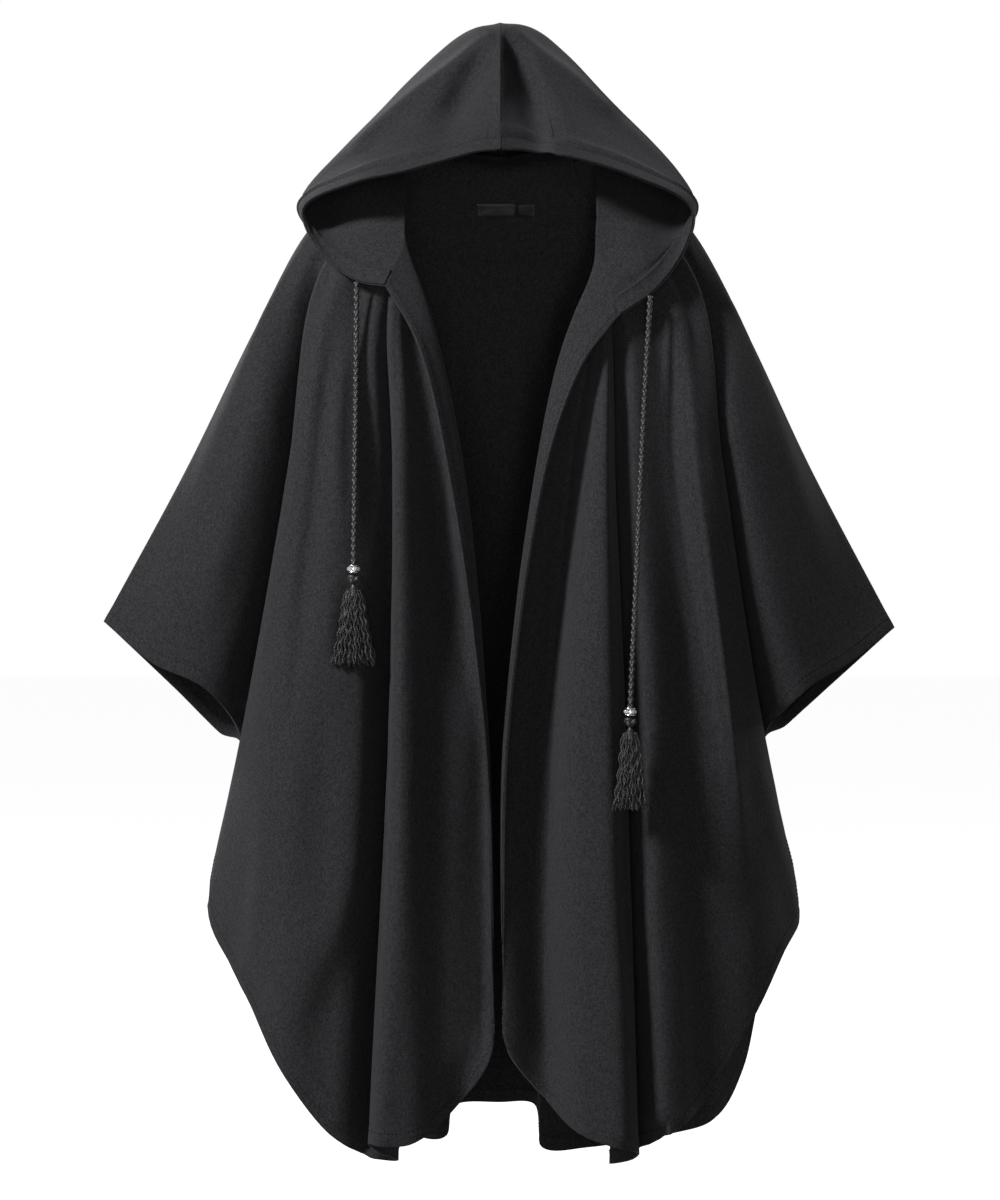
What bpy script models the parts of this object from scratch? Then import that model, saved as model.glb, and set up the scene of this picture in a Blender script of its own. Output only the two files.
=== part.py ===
"""A long hooded poncho that opens down the front, hollow as if worn, with tasselled drawcords.

Metres, +Z up. The front faces -Y and -X is the wearer's right. The origin is at the middle of the
neck, level with the shoulders that carry the garment.
"""

import math

import bpy
from mathutils import Vector
from mathutils.bvhtree import BVHTree

MM = 0.001

# Cloth
CLOTH = 2.0
CASING_CLOTH = 1.2
FACING_CLOTH = 1.4
LABEL_CLOTH = 0.9
SEAM_GAP = 0.3
CASING_WIDTH = 22.0
FACING_DEPTH = 112.0

# Density of the panels
BODY_ROWS = 18
ROWS_CLOSER_AT_NECK = 1.25
STEPS_PER_FOLD = 2
ROWS_BETWEEN_RINGS = 3
STEPS_PER_HOOD_COLUMN = 2

# Drawcords and what hangs on them
CORD_DIAMETER = 6.5
CORD_POINTS = 44
BEAD_RADIUS = 7.2
BEAD_HEIGHT = 9.0
KNOT_RADIUS = 7.0
KNOT_HEIGHT = 10.5
TASSEL_SIDES = 12
STRAND_STEPS = 4

# One row for each fold line of the wearer's right front, from the opening round to the top of the arm:
# where it passes the neck, shoulder, chest, hip and hem, in millimetres.
FRONT_RIGHT = (
    ("edge", (-127, -118, -127), (-91, -134, -194), (-58, -142, -333), (-18, -134, -627), (-6, -122, -960)),
    ("roll", (-108, -88, -75), (-78, -106, -158), (-41, -120, -332), (-14, -122, -628), (-13, -122, -994)),
    ("under lapel", (-108, -80, -62), (-99, -95, -168), (-72, -98, -331), (-43, -96, -629), (-46, -108, -1040)),
    ("ridge inner", (-108, -75, -53), (-114, -108, -158), (-107, -126, -332), (-108, -150, -626), (-100, -158, -1079)),
    ("ridge outer", (-108, -70, -43), (-125, -108, -155), (-119, -122, -332), (-124, -142, -627), (-145, -148, -1081)),
    ("turn", (-109, -66, -36), (-121, -82, -153), (-113, -88, -331), (-110, -88, -629), (-116, -86, -1108)),
    ("chest", (-109, -60, -28), (-137, -98, -154), (-133, -110, -332), (-140, -116, -628), (-156, -112, -1097)),
    ("cord valley", (-109, -52, -21), (-151, -88, -140), (-150, -102, -331), (-173, -120, -628), (-195, -116, -1069)),
    ("broad", (-109, -42, -13), (-175, -84, -126), (-199, -122, -332), (-228, -136, -627), (-243, -118, -1004)),
    ("broad outer", (-109, -34, -6), (-190, -77, -116), (-221, -115, -332), (-267, -105, -628), (-289, -70, -914)),
    ("side edge", (-110, -26, 1), (-202, -64, -106), (-237, -98, -331), (-292, -54, -630), (-335, -1.2, -829)),
    ("armpit turn", (-110, -14, 9), (-198, -38, -92), (-226, -46, -312), (-258, -38, -477), (-296, -1.2, -645)),
    ("arm inner", (-110, -6, 18), (-215, -28, -83), (-268, -50, -295), (-300, -50, -454), (-336, -40, -578)),
    ("arm middle", (-110, 2, 28), (-226, -18, -72), (-311, -38, -268), (-353, -42, -409), (-396, -31, -549)),
    ("overarm", (-111, 11, 38), (-212, 4, -42), (-279, -1.2, -162), (-358, -1.2, -323), (-455, -1.2, -502)),
)

# The same for the wearer's left front, whose folds fall a little differently.
FRONT_LEFT = (
    ("edge", (131, -118, -161), (92, -134, -215), (51, -142, -333), (9, -134, -627), (3, -126, -949)),
    ("roll", (114, -88, -90), (74, -108, -184), (41, -120, -332), (6, -124, -627), (9, -128, -980)),
    ("under lapel", (109, -80, -69), (101, -94, -191), (74, -96, -342), (50, -104, -628), (54, -114, -1038)),
    ("ridge inner", (109, -75, -55), (115, -108, -186), (105, -128, -343), (86, -152, -626), (93, -158, -1069)),
    ("ridge outer", (110, -70, -44), (123, -108, -186), (127, -126, -343), (137, -148, -627), (153, -150, -1091)),
    ("turn", (110, -66, -36), (126, -82, -184), (127, -86, -342), (135, -88, -629), (124, -90, -1110)),
    ("chest", (110, -60, -28), (144, -98, -176), (150, -110, -343), (165, -124, -627), (179, -116, -1078)),
    ("soft valley", (110, -52, -21), (171, -84, -160), (188, -96, -342), (213, -100, -628), (225, -94, -1041)),
    ("broad", (110, -42, -13), (189, -82, -139), (215, -114, -343), (255, -114, -628), (280, -80, -957)),
    ("broad outer", (110, -34, -6), (203, -70, -122), (233, -104, -331), (277, -84, -629), (320, -44, -882)),
    ("side edge", (111, -26, 1), (218, -60, -109), (250, -92, -331), (298, -52, -630), (343, -1.2, -834)),
    ("armpit turn", (111, -14, 9), (211, -38, -92), (236, -44, -312), (268, -38, -477), (302, -1.2, -641)),
    ("arm inner", (111, -6, 18), (219, -28, -83), (275, -50, -295), (306, -50, -449), (346, -40, -579)),
    ("arm middle", (112, 2, 28), (227, -18, -72), (312, -38, -268), (354, -42, -409), (398, -32, -549)),
    ("overarm", (111, 11, 38), (212, 4, -42), (279, -1.2, -162), (356, -1.2, -325), (453, -1.2, -509)),
)

# The back, from the top of the wearer's right arm across to the top of the left arm.
BACK = (
    ("overarm right", (-111, 13.4, 38), (-212, 6.4, -42), (-279, 1.2, -162), (-358, 1.2, -323), (-455, 1.2, -502)),
    ("arm middle right", (-110, 18, 39), (-226, 28, -62), (-311, 42, -268), (-353, 46, -409), (-374, 40, -583)),
    ("arm inner right", (-109, 24, 39), (-214, 46, -68), (-272, 58, -295), (-302, 58, -454), (-326, 44, -631)),
    ("armpit right", (-107, 30, 38), (-202, 60, -78), (-240, 66, -312), (-264, 50, -477), (-296, 1.2, -645)),
    ("side right", (-104, 36, 37), (-190, 74, -84), (-244, 88, -331), (-294, 50, -630), (-335, 1.2, -829)),
    ("turn right", (-101, 40, 36), (-180, 80, -88), (-234, 112, -331), (-280, 92, -629), (-305, 52, -900)),
    ("broad right", (-97, 45, 35), (-168, 86, -92), (-220, 124, -331), (-262, 120, -628), (-286, 92, -958)),
    ("flute right", (-86, 53, 33), (-138, 98, -100), (-180, 142, -331), (-218, 162, -628), (-240, 150, -1052)),
    ("valley right", (-70, 61, 31), (-110, 98, -104), (-138, 108, -331), (-160, 94, -628), (-170, 84, -1092)),
    ("rib right", (-50, 68, 29), (-80, 108, -107), (-96, 138, -331), (-104, 156, -628), (-112, 140, -1112)),
    ("flute inner right", (-32, 72, 28), (-50, 104, -109), (-60, 108, -331), (-64, 94, -628), (-66, 78, -1107)),
    ("centre right", (-16, 74.5, 27), (-24, 110, -110), (-32, 132, -331), (-42, 142, -628), (-54, 136, -1077)),
    ("centre", (0, 75, 26), (0, 112, -110), (0, 138, -331), (0, 152, -628), (0, 150, -1076)),
    ("centre left", (16, 74.5, 27), (24, 110, -110), (31, 132, -331), (38, 142, -628), (42, 136, -1076)),
    ("flute inner left", (32, 72, 28), (50, 104, -109), (56, 108, -331), (54, 94, -628), (50, 78, -1119)),
    ("rib left", (50, 68, 29), (80, 108, -107), (94, 138, -331), (102, 154, -628), (104, 112, -1124)),
    ("valley left", (70, 61, 31), (110, 98, -104), (136, 108, -331), (156, 94, -628), (200, 98, -1106)),
    ("flute left", (86, 53, 33), (138, 98, -100), (180, 142, -331), (220, 160, -628), (254, 124, -1092)),
    ("broad left", (97, 45, 35), (168, 86, -92), (222, 124, -331), (266, 118, -628), (285, 96, -1030)),
    ("turn left", (101, 40, 36), (180, 80, -88), (240, 110, -331), (286, 90, -629), (307, 58, -920)),
    ("side left", (104, 36, 37), (190, 74, -84), (252, 88, -331), (301, 50, -630), (343, 1.2, -834)),
    ("armpit left", (107, 30, 38), (202, 60, -78), (242, 64, -312), (270, 50, -477), (302, 1.2, -641)),
    ("arm inner left", (109, 24, 39), (214, 46, -68), (275, 58, -295), (306, 58, -449), (333, 44, -622)),
    ("arm middle left", (110, 18, 39), (226, 28, -62), (312, 42, -268), (354, 46, -409), (388, 40, -572)),
    ("overarm left", (111, 13.4, 38), (212, 6.4, -42), (279, 1.2, -162), (356, 1.2, -325), (453, 1.2, -509)),
)

# The right half of the hood in rings from the face opening back to the seam down its middle. After the
# share of the neckline where the ring lands, each passes the crown, valley, brow, temple, cheek, jaw and throat.
HOOD_RIGHT = (
    ("brim", 0.00, (0, -128, 31), (-58, -119, 15), (-106, -124, 1), (-162, -112, -10), (-222, -78, -36), (-204, -86, -84), (-160, -104, -120)),
    ("fold", 0.17, (0, -64, 118), (-44, -32, 94), (-86, -54, 70), (-152, -62, 30), (-227, -62, -30), (-204, -72, -70), (-152, -88, -80)),
    ("ridge", 0.34, (0, 0, 184), (-20, 4, 174), (-52, 4, 147), (-120, -12, 90), (-227, -44, -26), (-196, -50, -54), (-150, -58, -36)),
    ("crown", 0.60, (0, 66, 197), (-40, 62, 184), (-76, 60, 157), (-128, 50, 102), (-189, 20, 20), (-182, 16, 16), (-148, 20, 48)),
    ("swell", 0.82, (0, 124, 176), (-30, 124, 166), (-62, 126, 140), (-100, 120, 94), (-122, 102, 54), (-112, 86, 46), (-92, 72, 54)),
    ("back", 1.00, (0, 158, 146), (0, 166, 130), (0, 172, 110), (0, 168, 84), (0, 152, 62), (0, 126, 50), (0, 98, 42)),
)

# The left half, with a sharper crease beside the seam.
HOOD_LEFT = (
    ("brim", 0.00, (0, -128, 31), (43, -100, 26), (63, -130, 20), (148, -112, -2), (217, -78, -36), (212, -84, -76), (174, -104, -130)),
    ("fold", 0.17, (0, -64, 118), (35, -30, 100), (52, -60, 90), (152, -62, 34), (221, -62, -29), (208, -72, -66), (160, -88, -86)),
    ("ridge", 0.34, (0, 0, 184), (12, 5, 178), (42, 2, 158), (116, -14, 98), (221, -44, -25), (196, -50, -54), (150, -58, -36)),
    ("crown", 0.60, (0, 66, 197), (42, 62, 187), (76, 60, 160), (126, 50, 104), (192, 20, 22), (182, 16, 16), (148, 20, 48)),
    ("swell", 0.82, (0, 124, 176), (30, 124, 166), (62, 126, 140), (100, 120, 94), (122, 102, 54), (112, 86, 46), (92, 72, 54)),
    ("back", 1.00, (0, 158, 146), (0, 166, 130), (0, 172, 110), (0, 168, 84), (0, 152, 62), (0, 126, 50), (0, 98, 42)),
)

# Where each drawcord passes: out of the hood's casing, down the front and into its bead.
CORD_RIGHT_ROUTE = ((-160.5, -105.7, -121.3), (-161, -113, -240), (-162, -127, -360), (-162.5, -138, -430), (-162.5, -139, -448))
CORD_LEFT_ROUTE = ((168, -109.5, -137), (160, -122, -276), (152, -145, -432), (144, -168, -586), (143.5, -169, -605.5))

# Width across the front, depth and length of each tassel.
TASSEL_RIGHT = (54, 20, 92)
TASSEL_LEFT = (42, 15, 94)

# The blank label and the size tab beside it: left and right ends, bottom and top.
LABEL_BOX = (-27, 18, -27, -11)
TAB_BOX = (20, 41, -26, -12)

# The side seam runs along the lower edge of a panel between the fold lines that start with these words.
SIDE_SEAM_FOLDS = ("side", "armpit")


def smooth_path(points, steps):
    """Points on a centripetal Catmull-Rom curve, with the same number of steps between each two given points."""
    before = points[0] * 2 - points[1]
    after = points[-1] * 2 - points[-2]
    knots = [before, *points, after]
    path = [points[0].copy()]
    for a, b, c, d in zip(knots, knots[1:], knots[2:], knots[3:]):
        t0 = 0.0
        t1 = t0 + math.sqrt(max((b - a).length, 1e-3))
        t2 = t1 + math.sqrt(max((c - b).length, 1e-3))
        t3 = t2 + math.sqrt(max((d - c).length, 1e-3))
        for step in range(1, steps + 1):
            t = t1 + (t2 - t1) * step / steps
            ab = a.lerp(b, (t - t0) / (t1 - t0))
            bc = b.lerp(c, (t - t1) / (t2 - t1))
            cd = c.lerp(d, (t - t2) / (t3 - t2))
            abc = ab.lerp(bc, (t - t0) / (t2 - t0))
            bcd = bc.lerp(cd, (t - t1) / (t3 - t1))
            path.append(abc.lerp(bcd, (t - t1) / (t2 - t1)))
    return path


def path_length(path):
    return sum((b - a).length for a, b in zip(path, path[1:]))


def path_at(path, distances):
    """The points of a path at the given distances from its start, in rising order."""
    found = []
    piece = 0
    passed = 0.0
    for distance in distances:
        span = (path[piece + 1] - path[piece]).length
        while piece < len(path) - 2 and passed + span < distance:
            passed += span
            piece += 1
            span = (path[piece + 1] - path[piece]).length
        found.append(path[piece].lerp(path[piece + 1], (distance - passed) / span))
    return found


def path_at_shares(path, shares):
    length = path_length(path)
    return path_at(path, [share * length for share in shares])


def lower_edge(points, steps, seams):
    """A panel's lower edge: smooth along each hem and straight along the side seams between them."""
    path = []
    start = 0
    for first in seams:
        if first > start:
            path += smooth_path(points[start : first + 1], steps)[:-1]
        path += [points[first].lerp(points[first + 1], step / steps) for step in range(steps)]
        start = first + 1
    return path + smooth_path(points[start:], steps)


def panel_grid(folds):
    """A panel lofted through its fold lines: one list of points for each row from neck to hem."""
    shares = [(row / BODY_ROWS) ** ROWS_CLOSER_AT_NECK for row in range(BODY_ROWS + 1)]
    lines = [path_at_shares(smooth_path([Vector(p) for p in fold[1:]], 6), shares) for fold in folds]
    seams = [
        index
        for index in range(len(folds) - 1)
        if all(fold[0].startswith(SIDE_SEAM_FOLDS) for fold in folds[index : index + 2])
    ]
    grid = [smooth_path([line[row] for line in lines], STEPS_PER_FOLD) for row in range(BODY_ROWS)]
    return grid + [lower_edge([line[-1] for line in lines], STEPS_PER_FOLD, seams)]


def seam_shift(first_way, second_way, bow):
    """How far to move a second sheet's edge, so that two sheets leaving a seam these ways stay apart."""
    spread = second_way.normalized() - first_way.normalized()
    overlap = math.sqrt(max(1 - (spread.length / 2) ** 2, 0))
    return spread.normalized() * (SEAM_GAP + 0.1 + CLOTH * overlap + 1.4 * bow)


def bow_between(path, start, end):
    """How far a path strays from the straight line between two of its places."""
    a, middle, b = path_at(path, [start, (start + end) / 2, end])
    return (middle - a.lerp(b, 0.5)).length


def neckline(front_grid, half_of_back, half_below):
    """One side of the neckline and the row of points below it, from the opening to the middle of the back."""
    return front_grid[0] + half_of_back[1:], front_grid[1] + half_below[1:]


def hood_grid(rings, neck_path, below_path):
    """Half of the hood, lofted through its rings: one list of points for each row from brim to back seam."""
    side = math.copysign(1.0, rings[0][-1][0])
    fine = 8
    fine_lines = [smooth_path([Vector(ring[c]) for ring in rings], fine) for c in range(2, 9)]
    neck_length = path_length(neck_path)
    lines = []
    for line in [*fine_lines, None]:
        ring_places = [path_length(line[: fine * r + 1]) if line else ring[1] * neck_length for r, ring in enumerate(rings)]
        places = [0.0, CASING_WIDTH]
        for start, end in zip([CASING_WIDTH, *ring_places[2:]], ring_places[2:]):
            places += [start + (end - start) * row / ROWS_BETWEEN_RINGS for row in range(1, ROWS_BETWEEN_RINGS + 1)]
        lines.append(path_at(line or neck_path, places))
    below = path_at_shares(below_path, [place / neck_length for place in places])
    bows = [0.0, *[bow_between(neck_path, a, b) for a, b in zip(places, places[1:])], 0.0]
    grid = []
    for row, neck_point in enumerate(lines[-1]):
        way_down = below[row] - neck_point
        way_up = lines[-2][row] - neck_point
        edge = neck_point + seam_shift(way_down, way_up, max(bows[row : row + 2]))
        points = [line[row] for line in lines[:-1]] + [edge]
        grid.append(smooth_path(points, STEPS_PER_HOOD_COLUMN))
    normals = grid_normals(grid)
    for row, normal in zip(grid, normals):
        row[0].x = side * (SEAM_GAP / 2 + 0.1 + CLOTH / 2 * abs(normal[0].x))
    for point, normal in zip(grid[-1], normals[-1]):
        point.x = side * (SEAM_GAP / 2 + 0.1 + CLOTH / 2 * abs(normal.x))
    return grid


def grid_normals(grid):
    """Unit normals of a grid, on the side that the cross product of its columns and rows points to."""
    rows = len(grid)
    width = len(grid[0])
    normals = []
    for r in range(rows):
        line = []
        for c in range(width):
            across = grid[r][min(c + 1, width - 1)] - grid[r][max(c - 1, 0)]
            along = grid[min(r + 1, rows - 1)][c] - grid[max(r - 1, 0)][c]
            line.append(across.cross(along).normalized())
        normals.append(line)
    return normals


def casing_grid(hood, offset):
    """The band inside the first row of the hood, between the seam at the crown and the neck seam."""
    normals = grid_normals(hood)
    moved = [[p + n * offset for p, n in zip(row, normal)] for row, normal in zip(hood[:2], normals[:2])]
    inset = [edge.lerp(inner, 0.04) for edge, inner in zip(*moved)]
    band = [inset, moved[1]]
    for row in band:
        row[0] = row[0].lerp(row[1], 2.5 / (row[1] - row[0]).length)
        row[-1] = row[-1].lerp(row[-2], 3.0 / (row[-2] - row[-1]).length)
    return band


def strip_grid(grid, first, last, distances, offset):
    """A strip that lies on a grid, at these distances from its first row, from column first to column last."""
    normals = grid_normals(grid)
    columns = []
    for c in range(first, last + 1):
        path = [row[c] for row in grid]
        moved = [row[c] + normal[c] * offset for row, normal in zip(grid, normals)]
        length = path_length(path)
        places = [min(distance, length) for distance in distances]
        shares = []
        for place in places:
            piece = 0
            passed = 0.0
            while piece < len(path) - 2 and passed + (path[piece + 1] - path[piece]).length < place:
                passed += (path[piece + 1] - path[piece]).length
                piece += 1
            shares.append((piece, (place - passed) / (path[piece + 1] - path[piece]).length))
        columns.append([moved[piece].lerp(moved[piece + 1], part) for piece, part in shares])
    return [list(row) for row in zip(*columns)]


def sheet_mesh(name, grid):
    """An open surface through a grid of points in millimetres."""
    width = len(grid[0])
    points = [point * MM for row in grid for point in row]
    faces = []
    for row in range(len(grid) - 1):
        for column in range(width - 1):
            corner = row * width + column
            faces.append((corner, corner + 1, corner + width + 1, corner + width))
    mesh = bpy.data.meshes.new(name)
    mesh.from_pydata(points, [], faces)
    return mesh


def add_object(name, data, material, collection):
    thing = bpy.data.objects.new(name, data)
    data.materials.append(material)
    collection.objects.link(thing)
    return thing


def add_wall(name, grid, thickness, material, collection):
    """A cloth wall: the open surface with Solidify."""
    wall = add_object(name, sheet_mesh(name, grid), material, collection)
    wall.data.shade_smooth()
    solidify = wall.modifiers.new("cloth", "SOLIDIFY")
    solidify.thickness = thickness * MM
    solidify.offset = 0.0
    solidify.use_quality_normals = True
    return wall


def patch_on(grid, box, columns, rows, offset):
    """A small flat piece lying in front of a grid, between the left, right, bottom and top of its box."""
    width = len(grid[0])
    points = [point for row in grid for point in row]
    faces = []
    for row in range(len(grid) - 1):
        for column in range(width - 1):
            corner = row * width + column
            faces.append((corner, corner + 1, corner + width + 1, corner + width))
    surface = BVHTree.FromPolygons(points, faces)
    left, right, bottom, top = box
    patch = []
    for row in range(rows + 1):
        line = []
        for column in range(columns + 1):
            x = left + (right - left) * column / columns
            z = top + (bottom - top) * row / rows
            hit, normal, _, _ = surface.ray_cast(Vector((x, -500, z)), Vector((0, 1, 0)))
            line.append(hit - normal * math.copysign(offset, normal.y))
        patch.append(line)
    return patch


def ring_points(centre, radius_x, radius_y, sides):
    turns = [math.tau * side / sides for side in range(sides)]
    return [centre + Vector((radius_x * math.cos(t), radius_y * math.sin(t), 0)) for t in turns]


def lathe_mesh(name, centre, profile, sides, closed):
    """A body turned about an upright axis: profile pairs are radius and height, from the top down."""
    points = []
    for radius, height in profile:
        points += ring_points(centre + Vector((0, 0, height)), radius, radius, sides)
    levels = len(profile)
    faces = []
    for level in range(levels if closed else levels - 1):
        below = (level + 1) % levels
        for side in range(sides):
            after = (side + 1) % sides
            faces.append((level * sides + side, below * sides + side, below * sides + after, level * sides + after))
    if not closed:
        faces.append(tuple(range(sides)))
        faces.append(tuple(reversed(range((levels - 1) * sides, levels * sides))))
    mesh = bpy.data.meshes.new(name)
    mesh.from_pydata([point * MM for point in points], [], faces)
    return mesh


def add_cord(name, route, material, collection):
    """A round cord along a smooth route, as a curve with a bevel."""
    path = smooth_path([Vector(point) for point in route], 12)
    points = path_at_shares(path, [index / (CORD_POINTS - 1) for index in range(CORD_POINTS)])
    curve = bpy.data.curves.new(name, "CURVE")
    curve.dimensions = "3D"
    curve.bevel_depth = CORD_DIAMETER / 2 * MM
    curve.bevel_resolution = 2
    curve.use_fill_caps = True
    spline = curve.splines.new("POLY")
    spline.points.add(CORD_POINTS - 1)
    for slot, point in zip(spline.points, points):
        slot.co = (*(point * MM), 1.0)
    add_object(name, curve, material, collection)
    return points[-1]


def add_bead(name, centre, material, collection):
    """A faceted ring with the cord through its hole."""
    hole = CORD_DIAMETER / 2 + SEAM_GAP + 0.25
    half = BEAD_HEIGHT / 2
    profile = (
        (hole, half),
        (BEAD_RADIUS * 0.78, half),
        (BEAD_RADIUS, half * 0.4),
        (BEAD_RADIUS, -half * 0.4),
        (BEAD_RADIUS * 0.78, -half),
        (hole, -half),
    )
    add_object(name, lathe_mesh(name, centre, profile, 16, True), material, collection)


def add_knot(name, top, material, collection):
    """The stopper knot: a lump with the turns of the cord showing as slanting grooves."""
    levels = 9
    sides = 16
    points = []
    for level in range(levels + 1):
        angle = math.pi * (0.12 + 0.76 * level / levels)
        for side in range(sides):
            turn = math.tau * side / sides
            radius = KNOT_RADIUS * math.sin(angle) * (1 + 0.07 * math.cos(2 * turn + 3.2 * angle))
            height = KNOT_HEIGHT / 2 * (math.cos(angle) / math.cos(math.pi * 0.12) - 1)
            points.append(top + Vector((radius * math.cos(turn), radius * math.sin(turn), height)))
    faces = [tuple(range(sides)), tuple(reversed(range(levels * sides, (levels + 1) * sides)))]
    for level in range(levels):
        for side in range(sides):
            after = (side + 1) % sides
            low = (level + 1) * sides
            faces.append((level * sides + side, low + side, low + after, level * sides + after))
    mesh = bpy.data.meshes.new(name)
    mesh.from_pydata([point * MM for point in points], [], faces)
    mesh.shade_smooth()
    add_object(name, mesh, material, collection)


def add_tassel(name, top, size, material, collection):
    """A tassel: a bound head whose underside is divided into cells, with a strand grown out of each cell."""
    width, depth, length = size
    heads = ((2.6, 0), (3.2, -3), (6.2, -7), (7.4, -14))
    rings = [(radius, height) for radius, height in heads] + [(4.4, -14), (1.6, -14)]
    sides = TASSEL_SIDES
    points = []
    for radius, height in rings:
        points += ring_points(top + Vector((0, 0, height)), radius * 1.15, radius * 0.85, sides)
    faces = [tuple(range(sides)), tuple(reversed(range((len(rings) - 1) * sides, len(rings) * sides)))]
    cells = []
    for level in range(len(rings) - 1):
        for side in range(sides):
            after = (side + 1) % sides
            low = (level + 1) * sides
            face = (level * sides + side, low + side, low + after, level * sides + after)
            if level < len(heads) - 1:
                faces.append(face)
            else:
                cells.append((face, level - len(heads) + 1, side))
    for face, ring, side in cells:
        middle = sum((points[i] for i in face), Vector()) / 4
        turn = math.tau * (side + 0.5) / sides
        reach = (0.96, 0.5)[ring] * (1 + 0.06 * math.sin(5.3 * side + 2.1 * ring))
        drop = length - 14 - 5 * abs(math.sin(2.7 * side + ring))
        tip = top + Vector((width / 2 * reach * math.cos(turn), depth / 2 * reach * math.sin(turn), -14 - drop))
        above = face
        for step in range(STRAND_STEPS + 1):
            share = step / STRAND_STEPS
            spread = share**1.15
            at = middle.lerp(tip, spread)
            at.z = middle.z + (tip.z - middle.z) * share
            thick = (0.78, 0.85, 0.85, 0.8, 0.6)[step]
            below = []
            for i in face:
                below.append(len(points))
                points.append(at + (points[i] - middle) * thick)
            for corner in range(4):
                after = (corner + 1) % 4
                faces.append((above[corner], above[after], below[after], below[corner]))
            above = below
        faces.append(tuple(above))
    mesh = bpy.data.meshes.new(name)
    mesh.from_pydata([point * MM for point in points], [], faces)
    add_object(name, mesh, material, collection)


def add_material(name, colour, roughness, metallic=0.0):
    material = bpy.data.materials.new(name)
    material.use_nodes = True
    shader = material.node_tree.nodes["Principled BSDF"]
    shader.inputs["Base Color"].default_value = (*colour, 1.0)
    shader.inputs["Roughness"].default_value = roughness
    shader.inputs["Metallic"].default_value = metallic
    return material


def add_drawcord(side, route, tassel, materials, collection):
    """One hanging end of the drawcord, with its bead, stopper knot and tassel."""
    end = add_cord(f"drawcord_{side}", route, materials["cord"], collection)
    add_bead(f"bead_{side}", end + Vector((0, 0, BEAD_HEIGHT / 2 + 1)), materials["silver"], collection)
    knot_top = end - Vector((0, 0, SEAM_GAP + 0.1))
    add_knot(f"knot_{side}", knot_top, materials["cord"], collection)
    tassel_top = knot_top - Vector((0, 0, KNOT_HEIGHT + SEAM_GAP))
    add_tassel(f"tassel_{side}", tassel_top, tassel, materials["thread"], collection)


def main():
    for stale in list(bpy.data.objects):
        bpy.data.objects.remove(stale)
    poncho = bpy.data.collections.new("hooded_poncho")
    bpy.context.scene.collection.children.link(poncho)
    materials = {
        "wool": add_material("wool", (0.018, 0.018, 0.02), 0.95),
        "cord": add_material("cord", (0.02, 0.02, 0.022), 0.6),
        "thread": add_material("thread", (0.02, 0.02, 0.022), 0.7),
        "satin": add_material("satin", (0.012, 0.012, 0.014), 0.4),
        "silver": add_material("silver", (0.8, 0.8, 0.82), 0.2, 1.0),
    }
    wool = materials["wool"]

    # Body panels
    front_right = panel_grid(FRONT_RIGHT)
    front_left = panel_grid(FRONT_LEFT)
    back = panel_grid(BACK)
    add_wall("front_right", front_right, CLOTH, wool, poncho)
    add_wall("front_left", front_left, CLOTH, wool, poncho)
    add_wall("back", back, CLOTH, wool, poncho)

    # Hood, in two halves
    middle = len(back[0]) // 2
    right_half = [row[: middle + 1] for row in back[:2]]
    left_half = [row[: middle - 1 : -1] for row in back[:2]]
    hood_right = hood_grid(HOOD_RIGHT, *neckline(front_right, *right_half))
    hood_left = hood_grid(HOOD_LEFT, *neckline(front_left, *left_half))
    add_wall("hood_right", hood_right, CLOTH, wool, poncho)
    add_wall("hood_left", hood_left, CLOTH, wool, poncho)

    # Casing inside the hood's free edge, where the drawcord runs
    lift = (CLOTH + CASING_CLOTH) / 2 + SEAM_GAP + 0.4
    add_wall("casing_right", casing_grid(hood_right, lift), CASING_CLOTH, wool, poncho)
    add_wall("casing_left", casing_grid(hood_left, -lift), CASING_CLOTH, wool, poncho)

    # Facing inside the back of the neck, with the blank label on it
    first = STEPS_PER_FOLD * 7
    lift = (CLOTH + FACING_CLOTH) / 2 + SEAM_GAP
    down = [1.5, 0.3 * FACING_DEPTH, 0.65 * FACING_DEPTH, FACING_DEPTH]
    facing = strip_grid(back, first, len(back[0]) - 1 - first, down, -lift)
    add_wall("neck_facing", facing, FACING_CLOTH, wool, poncho)
    lift = (FACING_CLOTH + LABEL_CLOTH) / 2 + SEAM_GAP
    add_wall("label", patch_on(facing, LABEL_BOX, 5, 1, lift), LABEL_CLOTH, materials["satin"], poncho)
    add_wall("size_tab", patch_on(facing, TAB_BOX, 2, 1, lift), LABEL_CLOTH, materials["satin"], poncho)

    # Drawcords
    add_drawcord("right", CORD_RIGHT_ROUTE, TASSEL_RIGHT, materials, poncho)
    add_drawcord("left", CORD_LEFT_ROUTE, TASSEL_LEFT, materials, poncho)


main()
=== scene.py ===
import math
import random

import bpy
import numpy as np
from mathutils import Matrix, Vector
from mathutils.bvhtree import BVHTree


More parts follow.
